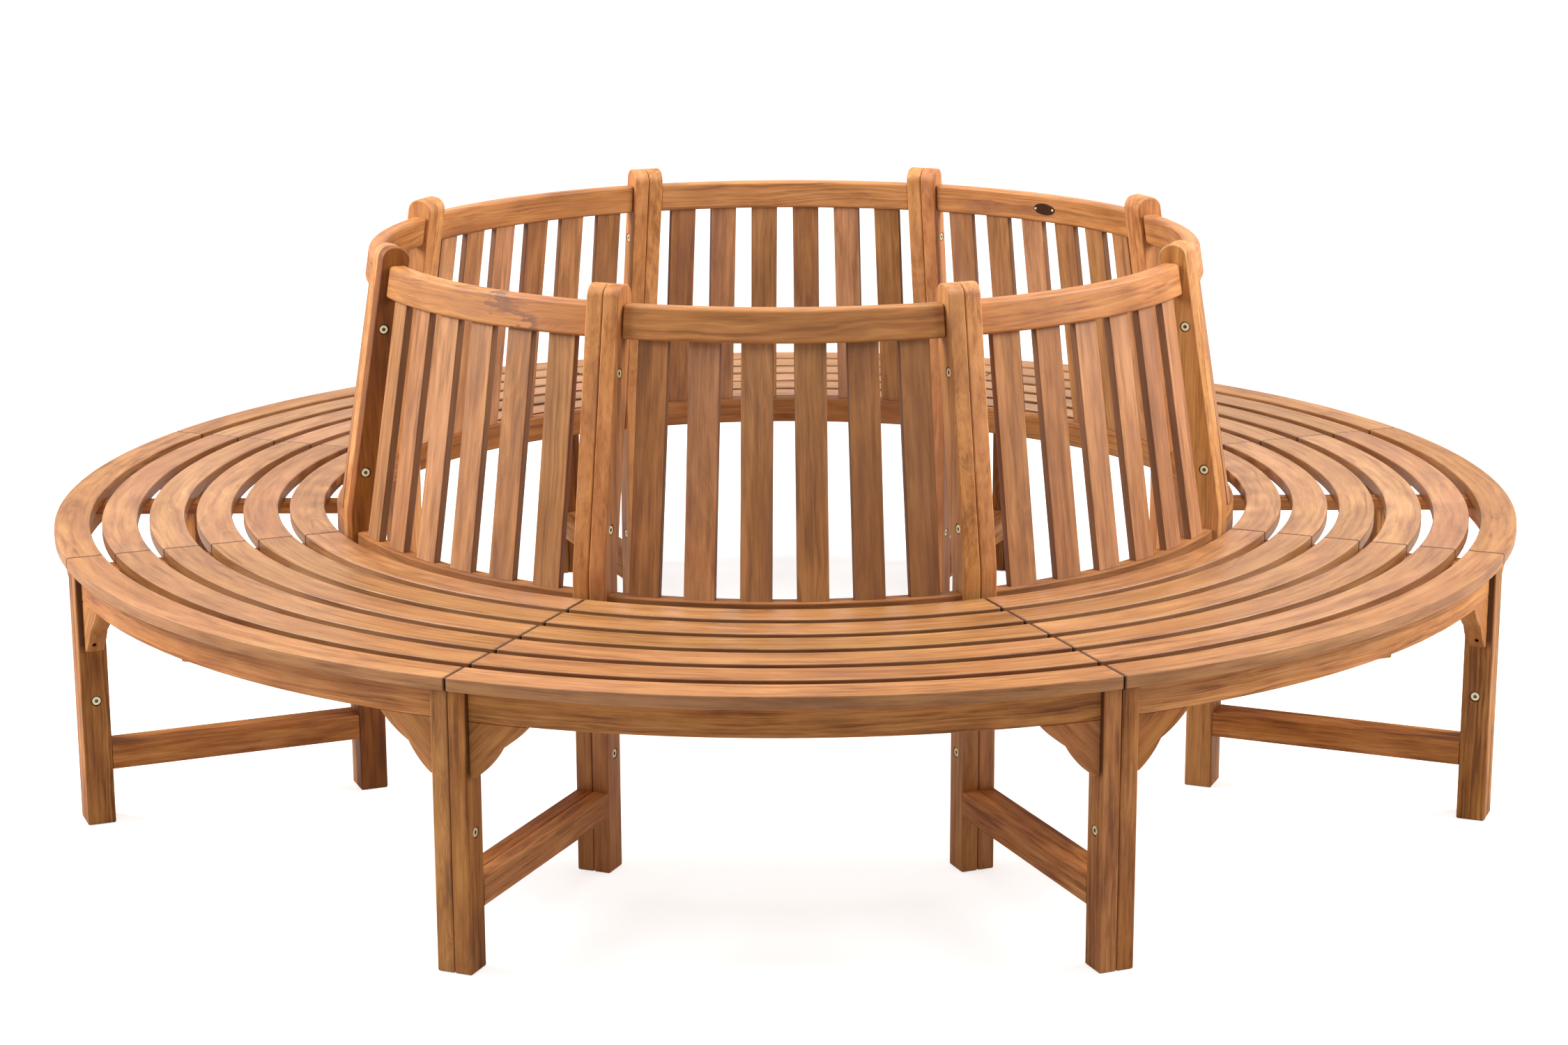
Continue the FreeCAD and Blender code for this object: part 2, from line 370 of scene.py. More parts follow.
class BoardTrees:
    """Geometry node trees that shape boards and deal them round the ring."""

    sizes = {"Length": "Float", "Width": "Float", "Thickness": "Float", "Edge Radius": "Float",
             "End Radius": "Float", "Cells Along": "Int", "Origin": "Vector",
             "Along": "Vector", "Across": "Vector", "Through": "Vector"}
    bend = {"Half Angle": "Float", "End Offset": "Float"}
    deal = {"Segments": "Int", "First Angle": "Float", "Per Segment": "Int",
            "Fan Angle": "Float", "Side Shift": "Float", "Seed": "Int", "Material": "Material"}
    most_boards = 31

    def __init__(self) -> None:
        """Builds the trees."""
        self.curved = self.board_tree("Curved Boards", {**self.sizes, **self.bend})
        self.straight = self.board_tree("Straight Boards", self.sizes)
        self.shaped = self.board_tree("Shaped Boards", {"Board": "Geometry"})
        self.fixings = self.fixing_tree()

    def board_tree(self, name: str, inputs: dict[str, str]) -> Tree:
        """Tree that makes one kind of board all round the ring.

        Args:
            name: Name of the tree.
            inputs: Type of each input that shapes the board, by name. A board of a
                shape of its own is an input itself, drawn for one segment.

        Returns:
            The new tree.
        """
        sheet = Sheet.group("GeometryNodeTree", name, {**inputs, **self.deal},
                            {"Boards": "Geometry"})
        board = sheet.given.get("Board") or self.laid(sheet, self.rounded(sheet))
        if "Half Angle" in inputs:
            board = self.bent(sheet, board)
        boards = self.dealt(sheet, board)
        return sheet.give(sheet.painted(sheet.smooth(boards), Material=sheet.given["Material"]))

    def rounded(self, sheet: Sheet) -> Wire:
        """Straight board with rounded edges, centred on its own origin.

        The board starts as a gridded cube. The outer cells of each axis are rolled
        into the edges and corners, and the cells between them lie flat.

        Args:
            sheet: The sheet to draw on.

        Returns:
            The board's mesh, with its skin and grain stored.
        """
        size = sheet.given
        rolled = 2 * ROUNDING_STEPS
        cells = size["Cells Along"] + rolled
        cube = sheet.add("GeometryNodeMeshCube", {
            "Size": (2, 2, 2), "Vertices X": cells + 1, "Vertices Y": rolled + 2,
            "Vertices Z": rolled + 2})
        share = 1 / (rolled + 1)
        flat = sheet.joined(size["Cells Along"] / cells, share, share)
        place = sheet.place()
        distance = place.calc("ABSOLUTE")
        core = distance.calc("MINIMUM", flat) / flat
        rim = ((distance - flat).calc("MAXIMUM", 0) / (1 - flat)).calc("NORMALIZE")
        half = sheet.joined(size["Length"], size["Width"], size["Thickness"]) * 0.5
        radii = sheet.joined(size["End Radius"], size["Edge Radius"], size["Edge Radius"])
        corner = core * (half - radii) + rim * radii
        shaped = sheet.moved(sheet.stored(cube, "skin", rim), place.calc("SIGN") * corner)
        return sheet.stored(shaped, "grain", place)

    def laid(self, sheet: Sheet, board: Wire) -> Wire:
        """Lays a board in its segment, where each of its axes gets a direction.

        Args:
            sheet: The sheet to draw on.
            board: The board, centred on its own origin.

        Returns:
            The board in its place.
        """
        place = sheet.given["Origin"]
        for axis, way in zip(sheet.place().split(), ("Along", "Across", "Through")):
            place = place + sheet.given[way] * axis
        return sheet.moved(board, place)

    def bent(self, sheet: Sheet, board: Wire) -> Wire:
        """Bends a laid board round the ring, its ends parallel to the joints.

        Args:
            sheet: The sheet to draw on.
            board: The laid board.

        Returns:
            The curved board.
        """
        size = sheet.given
        radius, along, height = sheet.place().split()
        reach = size["Half Angle"] - (size["End Offset"] / radius).calc("ARCSINE")
        angle = along * 2 / size["Length"] * reach
        return sheet.moved(board, sheet.joined(
            radius * angle.calc("COSINE"), radius * angle.calc("SINE"), height))

    def dealt(self, sheet: Sheet, board: Wire) -> Wire:
        """Copies a segment's boards round the ring and gives each board its timber.

        Copies within a segment fan out evenly about its middle. Side Shift moves the
        two outer ones towards the middle, as the side frames stand beside a joint.

        Args:
            sheet: The sheet to draw on.
            board: One segment's board or boards.

        Returns:
            The realized copies.
        """
        size = sheet.given
        index = sheet.add("GeometryNodeInputIndex")
        segment = (index / size["Per Segment"]).calc("FLOOR")
        along = index - segment * size["Per Segment"] - (size["Per Segment"] - 1) / 2
        turn = size["First Angle"] + segment * (2 * math.pi / size["Segments"])
        angle = turn + along * size["Fan Angle"]
        shift = along.calc("SIGN") * (size["Side Shift"] * -1)
        beside = sheet.add("ShaderNodeVectorRotate", {"Vector": sheet.joined(0, shift, 0),
                                                      "Angle": angle}, rotation_type="Z_AXIS")
        points = sheet.add("GeometryNodePoints", {
            "Count": size["Segments"] * size["Per Segment"], "Position": beside})
        turned = sheet.add("FunctionNodeEulerToRotation", {0: sheet.joined(0, 0, angle)})
        numbered = sheet.stored(sheet.copied(points, board, turned), "copy", index, "INT",
                                "INSTANCE")
        number = sheet.named("copy", "INT") * self.most_boards + sheet.named("board", "INT")
        timber = sheet.add("FunctionNodeRandomValue", {"ID": number, "Seed": size["Seed"]},
                           data_type="FLOAT_VECTOR")
        return sheet.stored(sheet.realized(numbered), "timber", timber)

    def fixing_tree(self) -> Tree:
        """Tree that sets a head on every seat, facing as the seat does, and gives the socket faces
        their own material, darker metal as painted shade on the bolts.

        Returns:
            The new tree.
        """
        inputs = {"Seats": "Geometry", "Head": "Object", "Material": "Material",
                  "Socket Shade": "Material"}
        sheet = Sheet.group("GeometryNodeTree", "Fixings", inputs, {"Heads": "Geometry"})
        seats, head, metal, shade = sheet.given.values()
        shape = sheet.add("GeometryNodeObjectInfo", {"Object": head}, "Geometry")
        turned = sheet.add("FunctionNodeAlignRotationToVector", {"Vector": sheet.named("facing")},
                           axis="Z")
        heads = sheet.smooth(sheet.realized(sheet.copied(seats, shape, turned)))
        # The socket faces get the socket's material, darker metal as painted shade on the bolts.
        return sheet.give(sheet.painted(sheet.painted(heads, Material=metal), Material=shade,
                                        Selection=sheet.named("socket", "BOOLEAN")))


# Meshes

def linked(name: str, data: bpy.types.ID) -> Item:
    """Puts a new object in the scene, at the origin.

    Args:
        name: Name of the object.
        data: Its mesh, lamp or camera.

    Returns:
        The object.
    """
    item = bpy.data.objects.new(name, data)
    bpy.context.scene.collection.objects.link(item)
    return item


def applied(item: Item) -> Mesh:
    """Applies an object's modifiers and removes the object.

    Args:
        item: The object.

    Returns:
        Its plain mesh.
    """
    graph = bpy.context.evaluated_depsgraph_get()
    mesh = bpy.data.meshes.new_from_object(item.evaluated_get(graph), depsgraph=graph,
                                           preserve_all_data_layers=True)
    bpy.data.objects.remove(item)
    return mesh


def kept(form: bmesh.types.BMesh, name: str) -> Mesh:
    """Keeps a form as a mesh and frees it.

    Args:
        form: The form.
        name: Name of the mesh.

    Returns:
        The mesh.
    """
    mesh = bpy.data.meshes.new(name)
    form.to_mesh(mesh)
    form.free()
    return mesh


def arc(centre: Vector, radius: float, start: float, end: float, steps: int) -> list[Vector]:
    """Points along an arc in the plane of an outline.

    Args:
        centre: Centre of the arc, with x outwards and y up.
        radius: Radius of the arc.
        start: Angle at the first point.
        end: Angle at the last point.
        steps: Number of stretches between the points.

    Returns:
        The points, both ends included.
    """
    angles = [start + (end - start) * step / steps for step in range(steps + 1)]
    return [centre + Vector((math.cos(angle), math.sin(angle))) * radius for angle in angles]


@dataclass
class Bore:
    """Round hole or recess, drilled into a board against the way that it faces."""

    place: Vector
    facing: Vector
    width: float
    depth: float
    sides: int = 28

    def cutter(self) -> Mesh:
        """Round bar that takes the hole's room.

        Returns:
            Its mesh, with its middle on the board's surface.
        """
        form = bmesh.new()
        turn = self.facing.to_track_quat("Z", "Y").to_matrix().to_4x4()
        bmesh.ops.create_cone(form, cap_ends=True, segments=self.sides, radius1=self.width / 2,
                              radius2=self.width / 2, depth=2 * self.depth,
                              matrix=Matrix.Translation(self.place) @ turn)
        return kept(form, "bore")


@dataclass
class SawnBoard:
    """Board sawn to an outline, with x outwards and y up, and drilled where it has bores."""

    outline: Sequence[Vector]
    thickness: float
    edge_radius: float
    bores: Sequence[Bore]
    fibres: Vector
    place: Matrix
    touching: bool = False
    eased_above: ClassVar[float] = math.radians(30)
    smooth_below: ClassVar[float] = math.radians(50)
    face_depth: ClassVar[float] = 0.0001

    def mesh(self) -> Mesh:
        """Cuts the board, eases its edges and drills it.

        Returns:
            Its mesh, with the outline in the x-z plane.
        """
        form = bmesh.new()
        side = form.faces.new([form.verts.new((point.x, -self.thickness / 2, point.y))
                               for point in self.outline])
        swept = bmesh.ops.extrude_face_region(form, geom=[side])["geom"]
        moved = [part for part in swept if isinstance(part, bmesh.types.BMVert)]
        bmesh.ops.translate(form, verts=moved, vec=(0, self.thickness, 0))
        bmesh.ops.recalc_face_normals(form, faces=form.faces)
        sharp = [edge for edge in form.edges if edge.calc_face_angle(0) > self.eased_above]
        bmesh.ops.bevel(form, geom=sharp, offset=self.edge_radius, segments=ROUNDING_STEPS,
                        affect="EDGES", profile=0.5, clamp_overlap=True)
        board = linked("board", kept(form, "board"))
        cutters = [linked("bore", bore.cutter()) for bore in self.bores]
        for cutter in cutters:
            modifier = board.modifiers.new("Bore", "BOOLEAN")
            modifier.operation = "DIFFERENCE"
            modifier.object = cutter
        bored = applied(board)
        for cutter in cutters:
            bpy.data.objects.remove(cutter)
        return bored

    def pair(self, ring: Ring) -> Mesh:
        """One segment's two boards, with their grain, skin and number stored.

        Args:
            ring: The ring that the segment belongs to.

        Returns:
            Mesh with the board at the left joint and its mirror image at the right one.
        """
        mesh, form = self.mesh(), bmesh.new()
        layers = form.verts.layers
        grain, skin = layers.float_vector.new("grain"), layers.float_vector.new("skin")
        number = layers.int.new("board")
        along = self.fibres.normalized()
        across = along.cross(Vector(TANGENT)).normalized()
        frame_of_fibres = Matrix((along, across, along.cross(across)))
        for order, side in enumerate(SIDES):
            start = len(form.verts)
            form.from_mesh(mesh)
            form.verts.ensure_lookup_table()
            added = form.verts[start:]
            joint = min(vertex.co.y for vertex in added) + self.face_depth
            for vertex in added:
                vertex[grain] = frame_of_fibres @ vertex.co
                # A touching board's joint face gets skin x = 1, which the finish darkens as
                # painted shade.
                vertex[skin] = (float(self.touching and vertex.co.y < joint), 0.0, 0.0)
                vertex[number] = order
            faces = {face for vertex in added for face in vertex.link_faces}
            bmesh.ops.transform(form, matrix=ring.at_joint(side, self.place), verts=added)
            if side < 0:
                bmesh.ops.reverse_faces(form, faces=list(faces))
        pair = kept(form, "pair")
        pair.set_sharp_from_angle(angle=self.smooth_below)
        return pair


def closed_stack(rings: Sequence[Sequence[Spot]]) -> bmesh.types.BMesh:
    """Closed form through rings of points, capped at both ends.

    Args:
        rings: Rings with the same number of points, in order.

    Returns:
        The form.
    """
    form = bmesh.new()
    rims = [[form.verts.new(point) for point in ring] for ring in rings]
    for low, high in zip(rims, rims[1:]):
        for side in range(len(low)):
            form.faces.new((low[side - 1], low[side], high[side], high[side - 1]))
    for rim in (rims[0], rims[-1]):
        form.faces.new(rim)
    bmesh.ops.recalc_face_normals(form, faces=form.faces)
    return form


@dataclass
class RoundHead:
    """Head of a bolt, screw or rivet with a six-sided socket, standing on z = 0."""

    width: float
    height: float
    socket: float
    sides: int
    rim: ClassVar[tuple[tuple[float, float], ...]] = ((1.0, 0.0), (1.0, 0.6), (0.9, 1.0))
    well: ClassVar[tuple[tuple[float, float], ...]] = ((1.08, 1.0), (1.0, 0.9), (1.0, 0.15))
    smooth_below: ClassVar[float] = math.radians(35)

    def mesh(self) -> Mesh:
        """Shapes the head and marks the faces of its socket.

        Returns:
            Its mesh.
        """
        rounds = [[self.point(side, share * self.width / 2, level) for side in range(self.sides)]
                  for share, level in self.rim]
        sockets = [[self.point(side, share * self.socket / 2 * self.six_sided(side), level)
                    for side in range(self.sides)] for share, level in self.well]
        form = closed_stack(rounds + sockets)
        inside = form.faces.layers.bool.new("socket")
        for face in form.faces:
            middle = face.calc_center_median()
            face[inside] = middle.z > 0 and middle.xy.length < self.socket / 2
        mesh = kept(form, "head")
        mesh.set_sharp_from_angle(angle=self.smooth_below)
        return mesh

    def point(self, side: int, reach: float, level: float) -> Spot:
        """Point of one side, at a distance from the axis and a share of the height."""
        angle = 2 * math.pi * side / self.sides
        return (reach * math.cos(angle), reach * math.sin(angle), level * self.height)

    def six_sided(self, side: int) -> float:
        """How far a socket's wall is drawn in from its corners at one side."""
        bend = (2 * math.pi * side / self.sides % (math.pi / 3)) - math.pi / 6
        return math.cos(math.pi / 6) / math.cos(bend)


# Finishes

@dataclass(frozen=True)
class Noise:
    """Noise that is stretched along the fibres."""

    along: float
    across: float
    detail: float
    roughness: float = 0.55
    upright: float | None = None

    def over(self, place: Wire) -> Wire:
        """The noise at a place.

        Args:
            place: Coordinates whose x runs along the fibres.

        Returns:
            Value that lies mostly between 0.3 and 0.7.
        """
        stretch = (self.along, self.across, self.upright or self.across)
        return place.sheet.add("ShaderNodeTexNoise", {
            "Vector": place * stretch, "Scale": 1.0, "Detail": self.detail,
            "Roughness": self.roughness})


@dataclass(frozen=True)
class Mark:
    """Tint that comes over the wood while a value, or noise over it, runs from low to high."""

    low: float
    high: float
    most: float = 1.0
    tint: Color | None = None
    noise: Noise | None = None

    def on(self, wood: Wire, value: Wire, strength: object = 1.0, tint: object = None) -> Wire:
        """The wood's colour with the mark on it.

        Args:
            wood: Colour of the wood so far.
            value: What the mark follows, or the place for its noise.
            strength: Share of the mark that shows.
            tint: Tint to use in place of the mark's own.

        Returns:
            The new colour.
        """
        if self.noise:
            value = self.noise.over(value)
        return wood.tinted(value.mapped(self.low, self.high, self.most) * strength,
                           tint or self.tint)


@dataclass(frozen=True)
class TeakFigure:
    """Shader group that draws growth rings, streaks and pores along each board, with painted shade
    on its sides and joint faces.
    """

    inputs: ClassVar[dict[str, str]] = {
        "Light Wood": "Color", "Middle Wood": "Color", "Dark Wood": "Color",
        "Rosy Wood": "Color", "Ring Spacing": "Float", "Ring Share": "Float",
        "Tone Spread": "Float", "Streaks": "Float", "Hearts": "Float",
        "Side Shade": "Float", "Polish": "Float"}
    plank_shift: Spot = (37.0, 23.0, 19.0)
    bow: Noise = Noise(2.8, 11.0, 3.0)
    bow_reach: float = 0.038
    pith_spread: float = 0.13
    pith_depth: float = 0.018
    pith_depth_spread: float = 0.09
    fibre_slope: float = 0.08
    ring_shift: float = 41.0
    ring_detail: float = 3.0
    ring_roughness: float = 0.65
    ring_share_least: float = 0.4
    ring_share_spread: float = 1.2
    mottle: Noise = Noise(8.0, 34.0, 4.0, 0.6)
    mottle_share: float = 0.36
    streak: Noise = Noise(6.5, 110.0, 4.0, 0.6)
    streak_share: float = 0.42
    fibre: Noise = Noise(18.0, 560.0, 3.0, 0.6)
    fibre_share: float = 0.22
    middle_wood: Mark = Mark(0.40, 0.50)
    light_wood: Mark = Mark(0.50, 0.60)
    rosy_wood: Mark = Mark(0.45, 0.68, 0.48, noise=Noise(2.6, 15.0, 3.0))
    smudge: Mark = Mark(0.56, 0.78, 0.8, srgb(104, 62, 36), Noise(5.0, 26.0, 5.0, 0.62))
    heart: Mark = Mark(0.57, 0.70, 0.55, srgb(112, 68, 50), Noise(4.5, 17.0, 5.0, 0.6))
    blotch: Noise = Noise(3.4, 13.0, 3.0)
    blotch_tone: float = 0.62
    hue_middle: float = 0.503
    hue_spread: float = 0.008
    pale_loss: float = -0.25
    # Painted shade: a board's sides, by skin's y, darken towards this brown by the finish's Side
    # Shade.
    painted_side_shade: Mark = Mark(0.4, 0.9, tint=srgb(84, 46, 22))
    # Painted shade: joint faces and rounded ends, by skin's x, darken towards this brown as shade
    # in the gaps.
    painted_joint_shade: Mark = Mark(0.15, 0.9, 0.85, srgb(58, 33, 18))
    matt: float = 0.52
    fibre_matt: float = 0.22
    fibre_height: float = 0.7
    streak_height: float = 0.3

    def tree(self) -> Tree:
        """Draws the whole group.

        Returns:
            The group.
        """
        outputs = {"Color": "Color", "Roughness": "Float", "Height": "Float"}
        sheet = Sheet.group("ShaderNodeTree", "Teak Figure", self.inputs, outputs)
        (light, middle, dark, rosy, ring_spacing, ring_share, tone_spread, streaks, hearts,
         side_shade, polish) = sheet.given.values()
        grain, timber, skin = (
            sheet.add("ShaderNodeAttribute", output="Vector", attribute_name=name)
            for name in ("grain", "timber", "skin"))
        _, pith_chance, depth_chance = timber.split()
        plank = grain + timber * self.plank_shift
        rings = self.growth_rings(grain, plank, timber, ring_spacing)
        mottle, streak, fibre = (noise.over(plank)
                                 for noise in (self.mottle, self.streak, self.fibre))
        drawn = ring_share * (pith_chance * self.ring_share_spread + self.ring_share_least)
        plain = streak * self.streak_share + (fibre * self.fibre_share
                                              + mottle * self.mottle_share)
        figure = rings * drawn + plain * (1.0 - drawn)
        wood = self.middle_wood.on(dark, figure, tint=middle)
        wood = self.light_wood.on(wood, figure, tint=light)
        wood = self.rosy_wood.on(wood, plank, tint=rosy)
        wood = self.smudge.on(wood, plank, streaks)
        wood = self.heart.on(wood, plank, hearts)
        tone = (depth_chance - 0.5) * tone_spread + (
            self.blotch.over(plank) - 0.5) * self.blotch_tone
        toned = sheet.add("ShaderNodeHueSaturation", {
            "Hue": (pith_chance - 0.5) * self.hue_spread + self.hue_middle,
            "Saturation": tone * self.pale_loss + 1.0, "Value": tone + 1.0, "Color": wood})
        joint, side, _ = skin.split()
        # Painted shade on the boards' sides.
        shaded = self.painted_side_shade.on(toned, side, side_shade)
        # Painted shade on the joint faces and rounded ends, standing in for the shade in the gaps.
        return sheet.give(self.painted_joint_shade.on(shaded, joint),
                          fibre * self.fibre_matt + (self.matt - polish),
                          fibre * self.fibre_height + streak * self.streak_height)

    def growth_rings(self, grain: Wire, plank: Wire, timber: Wire, spacing: Wire) -> Wire:
        """Growth rings round a pith that lies a little outside the board.

        Args:
            grain: The board's own coordinates.
            plank: The same, shifted to a place of the board's own.
            timber: The board's three random values.
            spacing: Distance between the rings.

        Returns:
            How light the wood of the ring is.
        """
        slope_chance, pith_chance, depth_chance = timber.split()
        along, across, through = grain.split()
        depth = (through + (depth_chance * self.pith_depth_spread + self.pith_depth)
                 + along * ((slope_chance - 0.5) * self.fibre_slope))
        pith = (pith_chance - 0.5) * self.pith_spread
        distance = grain.sheet.joined(across - pith, depth, 0.0).length()
        ring = (distance + (self.bow.over(plank) - 0.5) * self.bow_reach) / spacing
        return grain.sheet.add("ShaderNodeTexNoise", {
            "W": slope_chance * self.ring_shift + ring, "Scale": 1.0,
            "Detail": self.ring_detail, "Roughness": self.ring_roughness},
            noise_dimensions="1D")


class Surface(Sheet):
    """Sheet of a new material."""

    def __init__(self, name: str) -> None:
        """Makes the material.

        Args:
            name: Name of the material.
        """
        self.material = bpy.data.materials.new(name)
        self.material.use_nodes = True
        super().__init__(self.material.node_tree)

    def dressed(self, sockets: dict[str, object]) -> Material:
        """Feeds the material's Principled BSDF.

        Args:
            sockets: Wires and plain values, by the inputs' names.

        Returns:
            The material.
        """
        shader = self.tree.nodes["Principled BSDF"]
        for name, value in sockets.items():
            self.plug(shader.inputs[name], value)
        return self.material


@dataclass(frozen=True)
class TeakFinish:
    """Oiled teak of one kind of board."""

    name: str
    light_wood: tuple[int, int, int]
    middle_wood: tuple[int, int, int]
    dark_wood: tuple[int, int, int]
    rosy_wood: tuple[int, int, int]
    ring_spacing: float = 0.0042
    ring_share: float = 0.22
    tone_spread: float = 0.3
    streaks: float = 0.5
    hearts: float = 0.5
    # Share of painted shade on the boards' sides.
    side_shade: float = 0.0
    polish: float = 0.04
    specular: float = 0.25
    bump_strength: float = 0.12
    bump_height: float = 0.002

    def material(self, figure: Tree) -> Material:
        """Material with the teak figure on it.

        Args:
            figure: The shader group to place.

        Returns:
            The new material.
        """
        sheet = Surface(self.name)
        values = {}
        for name, form in TeakFigure.inputs.items():
            value = getattr(self, name.lower().replace(" ", "_"))
            values[name] = srgb(*value) if form == "Color" else value
        group = sheet.add("ShaderNodeGroup", node_tree=figure)
        for name, value in values.items():
            sheet.plug(group.socket.node.inputs[name], value)
        color, roughness, height = group.siblings()
        bump = sheet.add("ShaderNodeBump", {"Height": height, "Strength": self.bump_strength,
                                            "Distance": self.bump_height})
        return sheet.dressed({"Base Color": self.heartwood_and_painted_shade(color), "Roughness": roughness,
                              "Normal": bump, "Specular IOR Level": self.specular})

    def heartwood_and_painted_shade(self, wood: Wire) -> Wire:
        """The wood's colour as it is, for boards that get neither heartwood nor painted shade of
        their own.
        """
        return wood

    def place(self, wood: Wire) -> Wire:
        """Where a point of the finished piece is."""
        return wood.sheet.add("ShaderNodeTexCoord", output="Object")


@dataclass(frozen=True)
class LegFinish(TeakFinish):
    """Oiled teak of the front legs, painted darker than the frames' teak as shade, with painted
    shade in the corner beside apron and bracket.
    """

    corner_inner: Mark = Mark(1.200, 1.204)
    corner_outer: Mark = Mark(1.2195, 1.2165)
    corner_low: Mark = Mark(0.284, 0.300)
    corner_shade: float = 0.8
    # Brown of the painted shade in the corner.
    corner_shade_tint: Color = srgb(56, 29, 14)

    def heartwood_and_painted_shade(self, wood: Wire) -> Wire:
        """Paints shade on a strip of the legs' side faces below the seat, in the corner beside
        apron and bracket.

        Args:
            wood: Colour of the wood so far.

        Returns:
            The new colour.
        """
        place = self.place(wood)
        radius = (place * (1.0, 1.0, 0.0)).length()
        share = self.corner_shade
        for value, edge in ((radius, self.corner_inner), (radius, self.corner_outer),
                            (place.split()[2], self.corner_low)):
            share = share * value.mapped(edge.low, edge.high)
        return wood.tinted(share, self.corner_shade_tint)


@dataclass(frozen=True)
class RailFinish(TeakFinish):
    """Oiled teak of the top rails, one of which shows dark heartwood towards one end."""

    heart_end: float = math.radians(-112.5)
    heart_reach: float = 0.268
    heart_middle: float = 0.8455
    heart_slope: float = 1.2
    heart_wander: float = 0.4
    heart_edge: Noise = Noise(12.0, 12.0, 4.0, 0.6, upright=45.0)
    heartwood: Mark = Mark(0.02, 0.09, 0.4, srgb(150, 82, 38))
    flame: Mark = Mark(0.0, 0.012, 0.75, srgb(112, 70, 52))
    flame_width: float = 0.075
    flame_core: float = 0.45

    def heartwood_and_painted_shade(self, wood: Wire) -> Wire:
        """Adds one rail's heartwood and the dark flame at its start.

        Args:
            wood: Colour of the wood so far.

        Returns:
            The new colour.
        """
        place = self.place(wood)
        x, y, height = place.split()
        back = self.heart_end - y.calc("ARCTAN2", x)
        edge = (self.heart_edge.over(place) - 0.5) * self.heart_wander + (
            (height - self.heart_middle) * self.heart_slope + self.heart_reach)
        depth = edge - back
        on_rail = back.calc("GREATER_THAN", 0.0)
        wood = self.heartwood.on(wood, depth, on_rail)
        fading = depth.mapped(self.flame_width, self.flame_width * self.flame_core)
        return self.flame.on(wood, depth, on_rail * fading)


@dataclass(frozen=True)
class MetalFinish:
    """Plain metal of one colour."""

    name: str
    color: tuple[int, int, int]
    roughness: float
    metallic: float = 1.0

    def material(self, figure: Tree) -> Material:
        """Material with no teak on it.

        Args:
            figure: The teak's shader group, which metal leaves out.

        Returns:
            The new material.
        """
        return Surface(self.name).dressed({"Base Color": srgb(*self.color),
                                           "Metallic": self.metallic,
                                           "Roughness": self.roughness})


class Finish(Enum):
    """The bench's finishes, by what they dress."""

    # side_shade paints shade on the slats' sides; the outermost row's rim gets none.
    SEAT = TeakFinish(
        "teak_seat", (186, 132, 82), (166, 111, 65), (130, 79, 43), (158, 102, 66),
        tone_spread=0.26, streaks=0.55, side_shade=0.36, polish=0.18, specular=0.56)
    SEAT_RIM = TeakFinish(
        "teak_seat_rim", (183, 130, 79), (165, 110, 64), (127, 77, 41), (154, 101, 65),
        tone_spread=0.14, streaks=0.55, polish=0.12, specular=0.42)
    FRAMES = TeakFinish(
        "teak_frames", (211, 145, 84), (183, 115, 60), (122, 68, 31), (156, 95, 57),
        tone_spread=0.24, streaks=0.7)
    # Painted shade: the legs' teak is darker than the frames', for the shade under the seat.
    LEGS = LegFinish(
        "teak_legs", (197, 135, 76), (167, 105, 55), (108, 60, 28), (143, 88, 52),
        tone_spread=0.2, streaks=0.75)
    BRACKETS = TeakFinish(
        "teak_brackets", (193, 129, 70), (172, 106, 56), (131, 75, 34), (150, 92, 52),
        ring_share=0.12, tone_spread=0.16, streaks=0.7)
    # Painted light: the posts' teak is lighter than the frames', for the light that falls on their
    # leaning fronts.
    POSTS = TeakFinish(
        "teak_posts", (214, 149, 90), (194, 127, 71), (150, 91, 47), (171, 109, 68),
        ring_share=0.16, tone_spread=0.18, streaks=0.65, polish=0.12, specular=0.45)
    TOP_RAILS = RailFinish(
        "teak_rails", (206, 140, 82), (186, 119, 65), (144, 86, 44), (152, 94, 58),
        tone_spread=0.18, streaks=0.6, hearts=1.0, polish=0.12, specular=0.45)
    # Painted shade: the low rails' teak is darker than the frames', for the shade behind the seat.
    LOW_RAILS = TeakFinish(
        "teak_low_rails", (170, 109, 58), (149, 91, 44), (112, 65, 30), (124, 75, 42),
        tone_spread=0.2, streaks=0.6)
    # side_shade paints shade on the slats' narrow sides.
    SLATS = TeakFinish(
        "teak_slats", (196, 136, 86), (171, 114, 70), (135, 87, 53), (140, 93, 68),
        ring_share=0.17, tone_spread=0.5, streaks=0.35, hearts=0.6, side_shade=0.7,
        polish=0.12, specular=0.45)
    BOLTS = MetalFinish("yellow_zinc", (244, 238, 202), 0.38, 0.4)
    # Painted shade: darker metal inside the bolts' sockets.
    SOCKET_SHADE = MetalFinish("socket_shade", (140, 130, 94), 0.55)
    PLATE = MetalFinish("dark_bronze", (84, 62, 46), 0.4)


# Workshop

class Deal(Enum):
    """How copies of a board are spread: once per segment, at both joints, or fanned."""

    MIDDLE = "middle"
    JOINTS = "joints"
    FAN = "fan"


